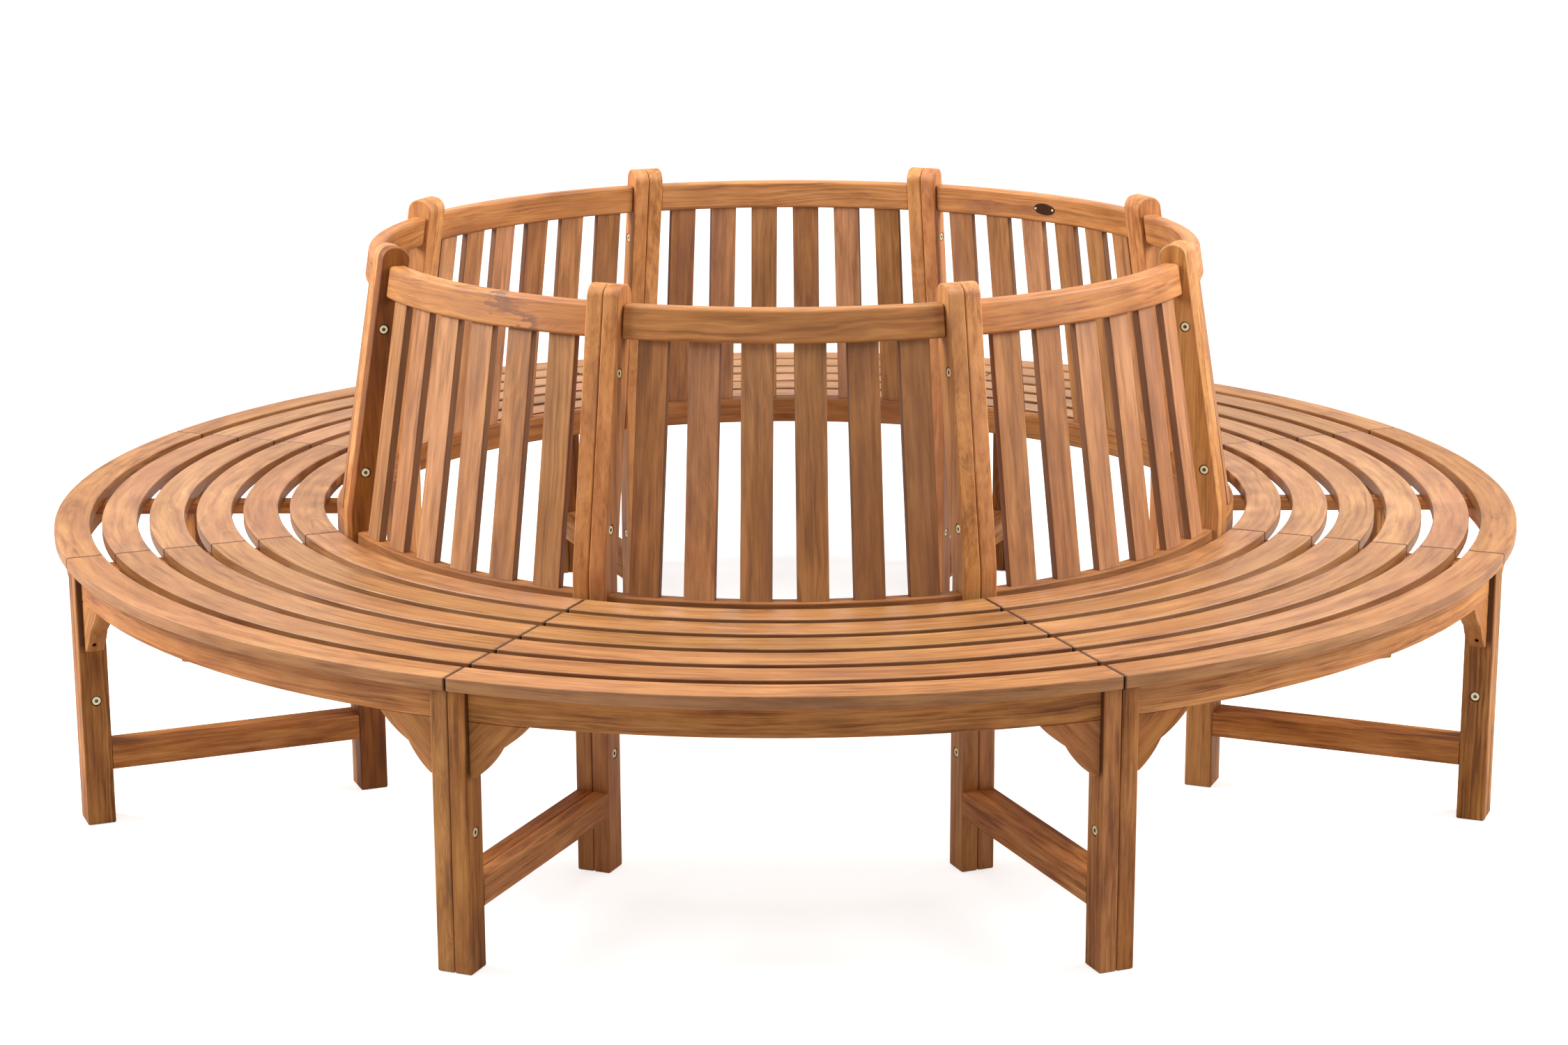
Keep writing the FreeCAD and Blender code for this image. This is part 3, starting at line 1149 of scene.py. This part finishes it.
class Workshop:
    """Turns trees, sizes and meshes into finished pieces that ride on the bench."""

    def __init__(self, ring: Ring, trees: BoardTrees) -> None:
        """Opens the workshop and mixes every finish.

        Args:
            ring: Sizes that every part shares.
            trees: Trees that make and deal the boards.
        """
        self.ring = ring
        self.trees = trees
        self.seed = 0
        figure = TeakFigure().tree()
        self.materials = {finish: finish.value.material(figure) for finish in Finish}

    def dealt(self, deal: Deal = Deal.MIDDLE, count: int = 1, fan: float = 0.0,
              seed: int = 0) -> dict:
        """Inputs of the dealing group for one of the ways to spread copies.

        Args:
            deal: The way.
            count: Number of copies in a segment.
            fan: Angle between them.
            seed: Seed of the boards' timber, or 0 for the workshop's next one.

        Returns:
            Values by the names of the group's inputs.
        """
        self.seed += 1
        shift = 0.0
        if deal is Deal.JOINTS:
            count, fan, shift = 2, self.ring.step, self.ring.frame_middle
        return {"Segments": self.ring.segments, "First Angle": self.ring.first_angle,
                "Per Segment": count, "Fan Angle": fan, "Side Shift": shift,
                "Seed": seed or self.seed}

    def bake(self, name: str, tree: Tree, values: dict, base: Mesh | None = None) -> Item:
        """Runs a tree and keeps the result as a plain mesh.

        Args:
            name: Name of the finished piece.
            tree: Geometry node tree to run.
            values: The tree's inputs, by name.
            base: Mesh that the tree works on, if it needs one.

        Returns:
            A new object with no modifiers, its place in its mesh.
        """
        carrier = linked(name + "_carrier", base or bpy.data.meshes.new(name))
        modifier = carrier.modifiers.new("Boards", "NODES")
        modifier.node_group = tree
        plain = {"NodeSocketInt": int, "NodeSocketFloat": float}
        for item in tree.interface.items_tree:
            if item.in_out == "INPUT" and item.name in values:
                value = values[item.name]
                modifier[item.identifier] = plain.get(item.socket_type, lambda kept: kept)(value)
        carrier.modifiers.new("Flat Faces", "WEIGHTED_NORMAL").keep_sharp = True
        mesh = applied(carrier)
        mesh.name = name
        return linked(name, mesh)

    def hand_over(self, piece: Item, *nodes: str) -> None:
        """Puts a finished piece on the bench, in place of the nodes that it stands for.

        Args:
            piece: The finished piece.
            nodes: Names of the nodes. A piece that stands for any is of teak.
        """
        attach(piece, BODY)
        if nodes:
            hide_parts(*nodes)
        log.info("%s: %d faces, stands for %d nodes", piece.name,
                 len(piece.data.polygons), len(nodes))

    def boards(self, name: str, tree: Tree, values: dict, finish: Finish,
               nodes: Iterable[str], base: Mesh | None = None) -> Item:
        """Makes one kind of board all round the ring and hands it over.

        Args:
            name: Name of the piece.
            tree: Tree that makes or deals the boards.
            values: The tree's inputs, by name.
            finish: The boards' finish.
            nodes: Names of the nodes that the boards stand for.
            base: One segment's boards, where they have a shape of their own.

        Returns:
            The finished piece.
        """
        values = {**values, "Material": self.materials[finish]}
        piece = self.bake(name, tree, values, base)
        self.hand_over(piece, *nodes)
        return piece

    def fixings(self, name: str, seats: Sequence[tuple[Vector, Vector]], head: RoundHead,
                shade: Finish = Finish.SOCKET_SHADE) -> None:
        """Sets one kind of head on many seats and hands them over as one piece.

        Args:
            name: Name of the piece.
            seats: Place and facing of each head.
            head: The head.
            shade: Finish inside the heads' sockets, darker metal as painted shade by default.
        """
        points = bpy.data.meshes.new(name)
        points.from_pydata([place for place, _ in seats], [], [])
        facing = points.attributes.new("facing", "FLOAT_VECTOR", "POINT")
        facing.data.foreach_set("vector", [value for _, way in seats for value in way])
        pattern = linked("pattern", head.mesh())
        piece = self.bake(name, self.trees.fixings, {
            "Head": pattern, "Material": self.materials[Finish.BOLTS],
            "Socket Shade": self.materials[shade]}, points)
        bpy.data.objects.remove(pattern)
        self.hand_over(piece)

    def segment_nodes(self, ending: str) -> list[str]:
        """Names of the nodes that a kind of piece has in the segments."""
        return [f"segment_{number}_{ending}" for number in range(1, self.ring.segments + 1)]


# Sub-assemblies

def laid_board(size: Spot, edge_radius: float, end_radius: float, origin: Spot,
               axes: Sequence[Spot] = (OUTWARD, TANGENT, UP), cells: int = 1) -> dict:
    """Inputs that shape a board and lay it in its segment.

    Args:
        size: Length, width and thickness.
        edge_radius: Radius of the long edges.
        end_radius: Radius of the edges at the ends.
        origin: Middle of the board.
        axes: Directions of its length, width and thickness.
        cells: Number of stretches along it, between its ends.

    Returns:
        Values by the names of the tree's inputs.
    """
    names = ("Length", "Width", "Thickness", "Along", "Across", "Through")
    return {**dict(zip(names, (*size, *axes))), "Edge Radius": edge_radius,
            "End Radius": end_radius, "Origin": origin, "Cells Along": cells}


@dataclass
class CurvedBoard:
    """Size and place of a board that bends round the ring."""

    front: float
    width: float
    low: float
    high: float
    end_offset: float
    edge_radius: float
    end_radius: float = HOUSED_END
    lean: float = 0.0
    cells: int = 24

    def inputs(self, ring: Ring) -> dict:
        """Inputs of the curved board's tree.

        Args:
            ring: The ring that the board follows.

        Returns:
            Values by the names of the tree's inputs.
        """
        radius = self.front - self.width / 2
        reach = ring.half - math.asin(self.end_offset / radius)
        axes = (TANGENT, (-1 / math.cos(self.lean), 0.0, 0.0),
                (-math.tan(self.lean), 0.0, 1.0))
        board = laid_board((2 * radius * reach, self.width, self.high - self.low),
                           self.edge_radius, self.end_radius,
                           (radius, 0.0, (self.low + self.high) / 2), axes, self.cells)
        return {**board, "Half Angle": ring.half, "End Offset": self.end_offset}


@dataclass
class Assembly:
    """Part of the bench, with the workshop that makes it."""

    shop: Workshop

    @property
    def ring(self) -> Ring:
        """The ring that the part belongs to."""
        return self.shop.ring


@dataclass
class Seat(Assembly):
    """Six rings of curved slats."""

    end_gap: float = 0.0022
    edge_radius: float = 0.0024
    end_radius: float = 0.0034

    def build(self) -> None:
        """Makes the slats of every row."""
        ring = self.ring
        for row in range(ring.slat_rows):
            board = CurvedBoard(ring.row_front(row), ring.slat_width, ring.seat_underside,
                                ring.seat_top, self.end_gap / 2, self.edge_radius,
                                self.end_radius)
            self.shop.boards(f"seat_row_{row + 1}", self.shop.trees.curved,
                             {**board.inputs(ring), **self.shop.dealt()},
                             Finish.SEAT if row else Finish.SEAT_RIM,
                             [f"seat_slats_row_{row + 1}"])


@dataclass
class Skirt(Assembly):
    """Curved aprons under the seat's edge, with a lobed bracket at each end."""

    apron_height: float = 0.045
    apron_thickness: float = 0.028
    apron_front: float = 1.210
    edge_radius: float = 0.0025
    bracket_thickness: float = 0.028
    bracket_length: float = 0.088
    bracket_drop: float = 0.082
    bracket_foot: float = 0.008
    notch_along: float = 0.043
    notch_down: float = 0.0395
    lobe_rise: float = 0.0028
    lobe_steps: int = 8
    bracket_edge: float = 0.0016
    screw_hole: float = 0.0072
    screw_depth: float = 0.014
    screw_behind: float = 0.010
    screw_share: float = 0.4

    def build(self) -> None:
        """Makes the aprons and the brackets."""
        ring, shop = self.ring, self.shop
        board = CurvedBoard(self.apron_front, self.apron_thickness,
                            ring.seat_underside - self.apron_height, ring.seat_underside,
                            ring.frame_far, self.edge_radius)
        shop.boards("curved_aprons", shop.trees.curved, {**board.inputs(ring), **shop.dealt()},
                    Finish.FRAMES, ["aprons"])
        fibres = Vector((self.bracket_length - self.bracket_foot, 0, self.bracket_drop))
        bracket = SawnBoard(self.outline(), self.bracket_thickness, self.bracket_edge,
                            [self.screw_bore()], fibres, self.place())
        shop.boards("lobed_brackets", shop.trees.shaped, shop.dealt(), Finish.BRACKETS,
                    ["apron_brackets"], bracket.pair(ring))

    def corners(self) -> tuple[Vector, Vector, Vector]:
        """Foot, notch and tip of a bracket, with x along the apron and y up."""
        return (Vector((self.bracket_foot, -self.bracket_drop)),
                Vector((self.notch_along, -self.notch_down)), Vector((self.bracket_length, 0.0)))

    def on_lobe(self, start: Vector, end: Vector, share: float) -> Vector:
        """Point of a lobe's edge, which swells a little outside its chord.

        Args:
            start: Lower end of the lobe.
            end: Upper end of the lobe.
            share: How far the point is from start to end.

        Returns:
            The point, with x along the apron and y up.
        """
        run = end - start
        outward = Vector((run.y, -run.x)).normalized()
        return start + run * share + outward * (4 * share * (1 - share) * self.lobe_rise)

    def outline(self) -> list[Vector]:
        """Bracket seen from outside, two lobes with a notch between them.

        Returns:
            Its points, with x along the apron and y up.
        """
        foot, notch, tip = self.corners()
        lobes = [self.on_lobe(start, end, step / self.lobe_steps)
                 for start, end in ((foot, notch), (notch, tip))
                 for step in range(self.lobe_steps)]
        return [Vector((0.0, 0.0)), Vector((0.0, -self.bracket_drop)), *lobes, tip]

    def screw_bore(self) -> Bore:
        """Hole in the lower lobe for the screw that holds it to the leg.

        Returns:
            The hole.
        """
        foot, notch, _ = self.corners()
        mouth = self.on_lobe(foot, notch, self.screw_share)
        behind = self.screw_behind - self.bracket_thickness / 2
        return Bore(Vector((mouth.x, behind, mouth.y)), Vector(OUTWARD), self.screw_hole,
                    self.screw_depth)

    def place(self) -> Matrix:
        """Place of a bracket beside a joint that lies along +X.

        Returns:
            The place, in which the bracket is flush with the apron.
        """
        ring = self.ring
        near = math.asin(ring.frame_far / self.apron_front)
        far = math.asin((ring.frame_far + self.bracket_length) / self.apron_front)
        return (Matrix.Translation((self.apron_front * math.cos(near), ring.frame_far,
                                    ring.seat_underside - self.apron_height))
                @ Matrix.Rotation((near + far) / 2, 4, "Z")
                @ Matrix.Translation((-self.bracket_thickness / 2, 0, 0))
                @ Matrix.Rotation(math.pi / 2, 4, "Z"))


@dataclass
class SideFrames(Assembly):
    """Legs, bent posts and the rails between them, in pairs at every joint."""

    stretcher_low: float = 0.0895
    stretcher_high: float = 0.1295
    crown_radius: float = 0.020
    crown_steps: int = 8
    bend_radius: float = 0.150
    bend_steps: int = 6
    edge_radius: float = 0.0026
    rail_easing: float = 0.7
    bolt_width: float = 0.0145
    bolt_height: float = 0.0038
    bolt_socket: float = 0.42
    bolt_sides: int = 24
    bore_width: float = 0.0175
    bore_depth: float = 0.0045
    leg_bolts: tuple[tuple[float, float], ...] = ((1.196, 0.206),)
    post_bolts: tuple[tuple[float, float], ...] = ((0.745, 0.186), (0.744, 0.537), (0.706, 0.769))
    # Painted shade: one post's whole plank is darkened for the shade on its free face.
    dark_post: float = math.radians(-156.3)
    dark_reach: float = math.radians(1.2)
    dark_plank: tuple[float, float] = (-0.8, -2.7)

    def build(self) -> None:
        """Makes the frames and their bolts."""
        ring, shop = self.ring, self.shop
        for name, outline, bolts, finish in (
                ("front_legs", self.leg_outline(), self.leg_bolts, Finish.LEGS),
                ("back_posts", self.post_outline(), self.post_bolts, Finish.POSTS)):
            board = SawnBoard(outline, ring.frame_thickness, self.edge_radius,
                              self.bores(bolts), Vector(UP), self.place(), touching=True)
            piece = shop.boards(name, shop.trees.shaped, shop.dealt(), finish,
                                shop.segment_nodes(name), board.pair(ring))
        self.shade_one_post(piece)
        for name, low, high in (
                ("seat_rails", ring.seat_underside - ring.rail_height, ring.seat_underside),
                ("stretchers", self.stretcher_low, self.stretcher_high)):
            size = (ring.leg_back - ring.post_front, ring.frame_thickness, high - low)
            rail = laid_board(size, self.edge_radius * self.rail_easing, SAWN_END,
                              ((ring.leg_back + ring.post_front) / 2, 0.0, (low + high) / 2))
            shop.boards(name, shop.trees.straight, {**rail, **shop.dealt(Deal.JOINTS)},
                        Finish.FRAMES, shop.segment_nodes(name))
        head = RoundHead(self.bolt_width, self.bolt_height, self.bolt_width * self.bolt_socket,
                         self.bolt_sides)
        shop.fixings("frame_bolts", self.bolt_seats(), head)

    def shade_one_post(self, posts: Item) -> None:
        """Gives one post, found by its direction, a darker plank, which stands in for the shade on
        its free face.

        Args:
            posts: The finished posts.
        """
        timber = posts.data.attributes["timber"].data
        for vertex in posts.data.vertices:
            direction = math.atan2(vertex.co.y, vertex.co.x)
            if abs(direction - self.dark_post) < self.dark_reach:
                plank = timber[vertex.index]
                plank.vector = (plank.vector[0], *self.dark_plank)

    def bores(self, places: Iterable[tuple[float, float]]) -> list[Bore]:
        """Recesses in the free face for bolts at the given radii and heights."""
        return [Bore(Vector((radius, self.ring.frame_thickness / 2, height)), Vector(TANGENT),
                     self.bore_width, self.bore_depth) for radius, height in places]

    def leg_outline(self) -> list[Vector]:
        """Front leg from the side.

        Returns:
            Its four corners.
        """
        ring = self.ring
        return [Vector(corner) for corner in (
            (ring.leg_back, 0.0), (ring.leg_front, 0.0),
            (ring.leg_front, ring.seat_underside), (ring.leg_back, ring.seat_underside))]

    def post_outline(self) -> list[Vector]:
        """Rear leg and back post from the side.

        Returns:
            Its points, with an eased bend and a round crown.
        """
        ring, radius, half = self.ring, self.crown_radius, self.ring.post_depth / 2
        lean, quarter = ring.lean, math.pi / 2
        front, back = ring.post_front, ring.post_front - ring.post_depth
        leaning = Vector((-math.sin(lean), math.cos(lean)))
        across = Vector((math.cos(lean), math.sin(lean)))
        easing = Vector((-self.bend_radius, -self.bend_radius * math.tan(lean / 2)))
        back_bend = ring.bend_height - ring.post_depth * math.tan(lean / 2)
        front_curve, back_curve = (
            arc(Vector(bend) + easing, self.bend_radius, 0.0, lean, self.bend_steps)
            for bend in ((front, ring.bend_height), (back, back_bend)))
        top = Vector((ring.behind_front(half, ring.post_height), ring.post_height))
        crown = []
        for side, start in zip(SIDES, (lean, lean + quarter)):
            centre = top + across * side * (half - radius) - leaning * radius
            crown += arc(centre, radius, start, start + quarter, self.crown_steps)
        return [Vector((back, 0.0)), Vector((front, 0.0)), *front_curve, *crown,
                *reversed(back_curve)]

    def place(self) -> Matrix:
        """Place of a board beside a joint that lies along +X."""
        return Matrix.Translation((0, self.ring.frame_middle, 0))

    def bolt_seats(self) -> list[tuple[Vector, Vector]]:
        """Floors of the bolts' recesses.

        Returns:
            Place and facing of each.
        """
        floor = self.ring.frame_thickness / 2 - self.bore_depth
        seats = []
        for turn in self.ring.turns():
            for side in SIDES:
                place = turn @ self.ring.at_joint(side, self.place())
                facing = place.to_3x3() @ Vector(TANGENT)
                seats += [(place @ Vector((radius, floor, height)), facing)
                          for radius, height in self.leg_bolts + self.post_bolts]
        return seats


@dataclass
class Battens(Assembly):
    """Flat bearer under the middle of each segment's slats."""

    width: float = 0.039
    thickness: float = 0.019
    inner: float = 0.762
    outer: float = 1.1818
    edge_radius: float = 0.0015
    screw_width: float = 0.008
    screw_height: float = 0.0008
    screw_socket: float = 0.5
    screw_sides: int = 12

    def build(self) -> None:
        """Makes the battens, and the screws that hold the slats from below."""
        shop = self.shop
        middle = ((self.outer + self.inner) / 2, 0.0,
                  self.ring.seat_underside - self.thickness / 2)
        batten = laid_board((self.outer - self.inner, self.width, self.thickness),
                            self.edge_radius, SAWN_END, middle)
        shop.boards("battens", shop.trees.straight, {**batten, **shop.dealt()}, Finish.FRAMES,
                    ["seat_battens"])
        head = RoundHead(self.screw_width, self.screw_height,
                         self.screw_width * self.screw_socket, self.screw_sides)
        down = -Vector(UP)
        shop.fixings("slat_screws", [(seat, down) for seat in self.screw_places()], head)

    def screw_places(self) -> list[Vector]:
        """Where screws go into the slats from below.

        Returns:
            A place under each slat, in the batten and both seat rails.
        """
        ring = self.ring
        places = []
        for turn in ring.turns():
            for row in range(ring.slat_rows):
                radius = ring.row_front(row) - ring.slat_width / 2
                if self.inner < radius < self.outer:
                    places.append(turn @ Vector((radius, 0, ring.seat_underside - self.thickness)))
                if ring.post_front < radius < ring.leg_back:
                    beside = Vector((radius, ring.frame_middle,
                                     ring.seat_underside - ring.rail_height))
                    places += [turn @ ring.at_joint(side, Matrix()) @ beside for side in SIDES]
        return places


@dataclass
class Backrest(Assembly):
    """Top and bottom rails bent round the ring, and the flat slats between them."""

    top_high: float = 0.871
    top_low: float = 0.820
    top_setback: float = 0.012
    rail_thickness: float = 0.026
    top_edge: float = 0.0055
    top_end: float = 0.004
    bottom_high: float = 0.440
    bottom_low: float = 0.394
    bottom_front: float = 0.762
    bottom_edge: float = 0.0035
    slats: int = 6
    slat_width: float = 0.048
    slat_thickness: float = 0.013
    slat_setback: float = 0.020
    slat_pitch: float = math.radians(6.5)
    slat_edge: float = 0.002
    slat_planks: int = 652

    def build(self) -> None:
        """Makes the rails and the slats."""
        ring, shop, half = self.ring, self.shop, self.rail_thickness / 2
        middle = (self.top_high + self.top_low) / 2
        top = CurvedBoard(ring.behind_front(self.top_setback + half, middle) + half,
                          self.rail_thickness, self.top_low, self.top_high, ring.frame_far,
                          self.top_edge, self.top_end, ring.lean)
        bottom = CurvedBoard(self.bottom_front, self.rail_thickness, self.bottom_low,
                             self.bottom_high, ring.frame_far, self.bottom_edge)
        for name, node, board, finish in (
                ("top_rails", "top_back_rails", top, Finish.TOP_RAILS),
                ("bottom_rails", "bottom_back_rails", bottom, Finish.LOW_RAILS)):
            shop.boards(name, shop.trees.curved, {**board.inputs(ring), **shop.dealt()}, finish,
                        [node])
        dealt = shop.dealt(Deal.FAN, self.slats, self.slat_pitch, self.slat_planks)
        shop.boards("back_slats", shop.trees.straight, {**self.slat(), **dealt}, Finish.SLATS,
                    shop.segment_nodes("back_slats"))

    def slat(self) -> dict:
        """Leaning slat whose ends are cut level.

        Returns:
            Inputs of the straight board's tree.
        """
        lean, middle = self.ring.lean, (self.top_low + self.bottom_high) / 2
        radius = self.ring.behind_front(self.slat_setback + self.slat_thickness / 2, middle)
        axes = ((-math.tan(lean), 0.0, 1.0), (0.0, -1.0, 0.0), (1 / math.cos(lean), 0.0, 0.0))
        size = (self.top_low - self.bottom_high, self.slat_width, self.slat_thickness)
        return laid_board(size, self.slat_edge, SAWN_END, (radius, 0.0, middle), axes)


@dataclass
class Plate(Assembly):
    """Small blank oval plate on the inner face of one top rail."""

    width: float = 0.050
    height: float = 0.022
    thickness: float = 0.0012
    sunk: float = 0.0005
    bevel_from: float = 0.6
    bevelled: float = 0.95
    rivet_width: float = 0.0045
    rivet_height: float = 0.0012
    rivet_socket: float = 0.2
    rivet_sides: int = 12
    rivet_inset: float = 0.0050
    direction: float = math.radians(45.05)
    level: float = 0.8452
    setback: float = 0.038
    steps: int = 40

    def build(self) -> None:
        """Makes the plate and its two rivets."""
        place = self.place()
        form = closed_stack([self.rim(depth, share) for depth, share in (
            (self.sunk, 1.0), (-self.thickness * self.bevel_from, 1.0),
            (-self.thickness, self.bevelled))])
        bmesh.ops.transform(form, matrix=place, verts=form.verts)
        plate = linked("blank_plate", kept(form, "blank_plate"))
        plate.data.materials.append(self.shop.materials[Finish.PLATE])
        self.shop.hand_over(plate)
        facing = place.to_3x3() @ -Vector(OUTWARD)
        reach = self.width / 2 - self.rivet_inset
        seats = [(place @ Vector((-self.thickness, side * reach, 0)), facing) for side in SIDES]
        head = RoundHead(self.rivet_width, self.rivet_height,
                         self.rivet_width * self.rivet_socket, self.rivet_sides)
        self.shop.fixings("plate_rivets", seats, head, Finish.BOLTS)

    def place(self) -> Matrix:
        """Place of the plate on the rail, facing the tree.

        Returns:
            The place.
        """
        radius = self.ring.behind_front(self.setback, self.level)
        return (Matrix.Rotation(self.direction, 4, "Z")
                @ Matrix.Translation((radius, 0, self.level))
                @ Matrix.Rotation(-self.ring.lean, 4, "Y"))

    def rim(self, depth: float, share: float) -> list[Spot]:
        """Oval that runs round the plate.

        Args:
            depth: Distance outwards from the rail's face.
            share: Its share of the full size.

        Returns:
            Its points.
        """
        angles = [2 * math.pi * step / self.steps for step in range(self.steps)]
        return [(depth, share * self.width / 2 * math.cos(angle),
                 share * self.height / 2 * math.sin(angle)) for angle in angles]


# Studio

@dataclass
class Studio:
    """Plain floor, soft lamps and the camera at the photograph's angle."""

    camera_place: Spot = (0.0102, -5.4270, 1.7206)
    camera_pitch: float = -0.24305
    camera_yaw: float = 0.00231
    camera_roll: float = -0.00382
    focal_length: float = 74.646
    sensor_width: float = 36.0
    floor_color: Color = srgb(216, 215, 213)
    floor_roughness: float = 0.9
    floor_reach: float = 40.0
    floor_level: float = -0.0006
    floor_lift: float = 0.7
    white_from: float = 1.5
    white_to: float = 4.5
    world_level: float = 0.18
    lamp_aim: Spot = (0.0, 0.0, 0.4)
    lamps: tuple[tuple[str, Spot, float, float], ...] = (
        ("overhead", (0.0, -0.9, 4.4), 3.4, 122.0),
        ("left", (-3.8, -0.4, 2.9), 2.2, 252.0),
        ("right", (3.8, -0.4, 2.9), 2.2, 238.0))

    def build(self) -> None:
        """Sets up the floor, the world, the lamps and the camera."""
        self.floor()
        self.world()
        for name, place, width, power in self.lamps:
            self.lamp(name, place, width, power)
        self.camera()

    def floor(self) -> None:
        """Lays a plain pale floor that the camera sees as white."""
        mesh = bpy.data.meshes.new("floor")
        corners = [(x * self.floor_reach, y * self.floor_reach, self.floor_level)
                   for x, y in ((-1, -1), (1, -1), (1, 1), (-1, 1))]
        mesh.from_pydata(corners, [], [(0, 1, 2, 3)])
        sheet = Surface("pale_floor")
        seen = sheet.add("ShaderNodeLightPath", output="Is Camera Ray")
        distance = sheet.add("ShaderNodeTexCoord", output="Object").length()
        lift = distance.mapped(self.white_from, self.white_to, 1.0, self.floor_lift)
        mesh.materials.append(sheet.dressed({
            "Base Color": self.floor_color, "Roughness": self.floor_roughness,
            "Specular IOR Level": 0.0, "Emission Color": (1, 1, 1, 1),
            "Emission Strength": seen * lift}))
        floor = linked("floor", mesh)

    def world(self) -> None:
        """White behind the bench for the camera, and an even grey as light."""
        world = bpy.data.worlds.new("studio")
        bpy.context.scene.world = world
        world.use_nodes = True
        sheet = Sheet(world.node_tree)
        background = world.node_tree.nodes["Background"]
        camera, glossy = (sheet.add("ShaderNodeLightPath", output=ray)
                          for ray in ("Is Camera Ray", "Is Glossy Ray"))
        level = camera.calc("MAXIMUM", glossy).mapped(0.0, 1.0, 1.0, self.world_level)
        sheet.plug(background.inputs["Strength"], level)
        sheet.plug(background.inputs["Color"], (1.0, 1.0, 1.0, 1.0))

    def lamp(self, name: str, place: Spot, width: float, power: float) -> None:
        """Hangs a square lamp that faces the bench.

        Args:
            name: Name of the lamp.
            place: Where it hangs.
            width: Length of its sides.
            power: Its power in watts.
        """
        data = bpy.data.lights.new(name, "AREA")
        data.size = width
        data.energy = power
        lamp = linked(name, data)
        aim = Vector(self.lamp_aim) - Vector(place)
        lamp.matrix_world = (Matrix.Translation(place)
                             @ aim.to_track_quat("-Z", "Y").to_matrix().to_4x4())

    def camera(self) -> None:
        """Stands the camera where the photograph was taken from."""
        data = bpy.data.cameras.new("camera")
        data.sensor_width = self.sensor_width
        data.lens = self.focal_length
        camera = linked("camera", data)
        camera.matrix_world = (Matrix.Translation(self.camera_place)
                               @ Matrix.Rotation(self.camera_yaw, 4, "Z")
                               @ Matrix.Rotation(math.pi / 2 + self.camera_pitch, 4, "X")
                               @ Matrix.Rotation(self.camera_roll, 4, "Z"))
        bpy.context.scene.camera = camera


def main() -> None:
    """Builds the bench, sub-assembly by sub-assembly, and the studio round it."""
    logging.basicConfig(level=logging.INFO, format="%(name)s: %(message)s")
    shop = Workshop(Ring(), BoardTrees())
    for assembly in (Seat, Skirt, SideFrames, Battens, Backrest, Plate):
        assembly(shop).build()
    bpy.context.scene.view_settings.view_transform = "Standard"
    Studio().build()


if __name__ == "__main__":
    main()
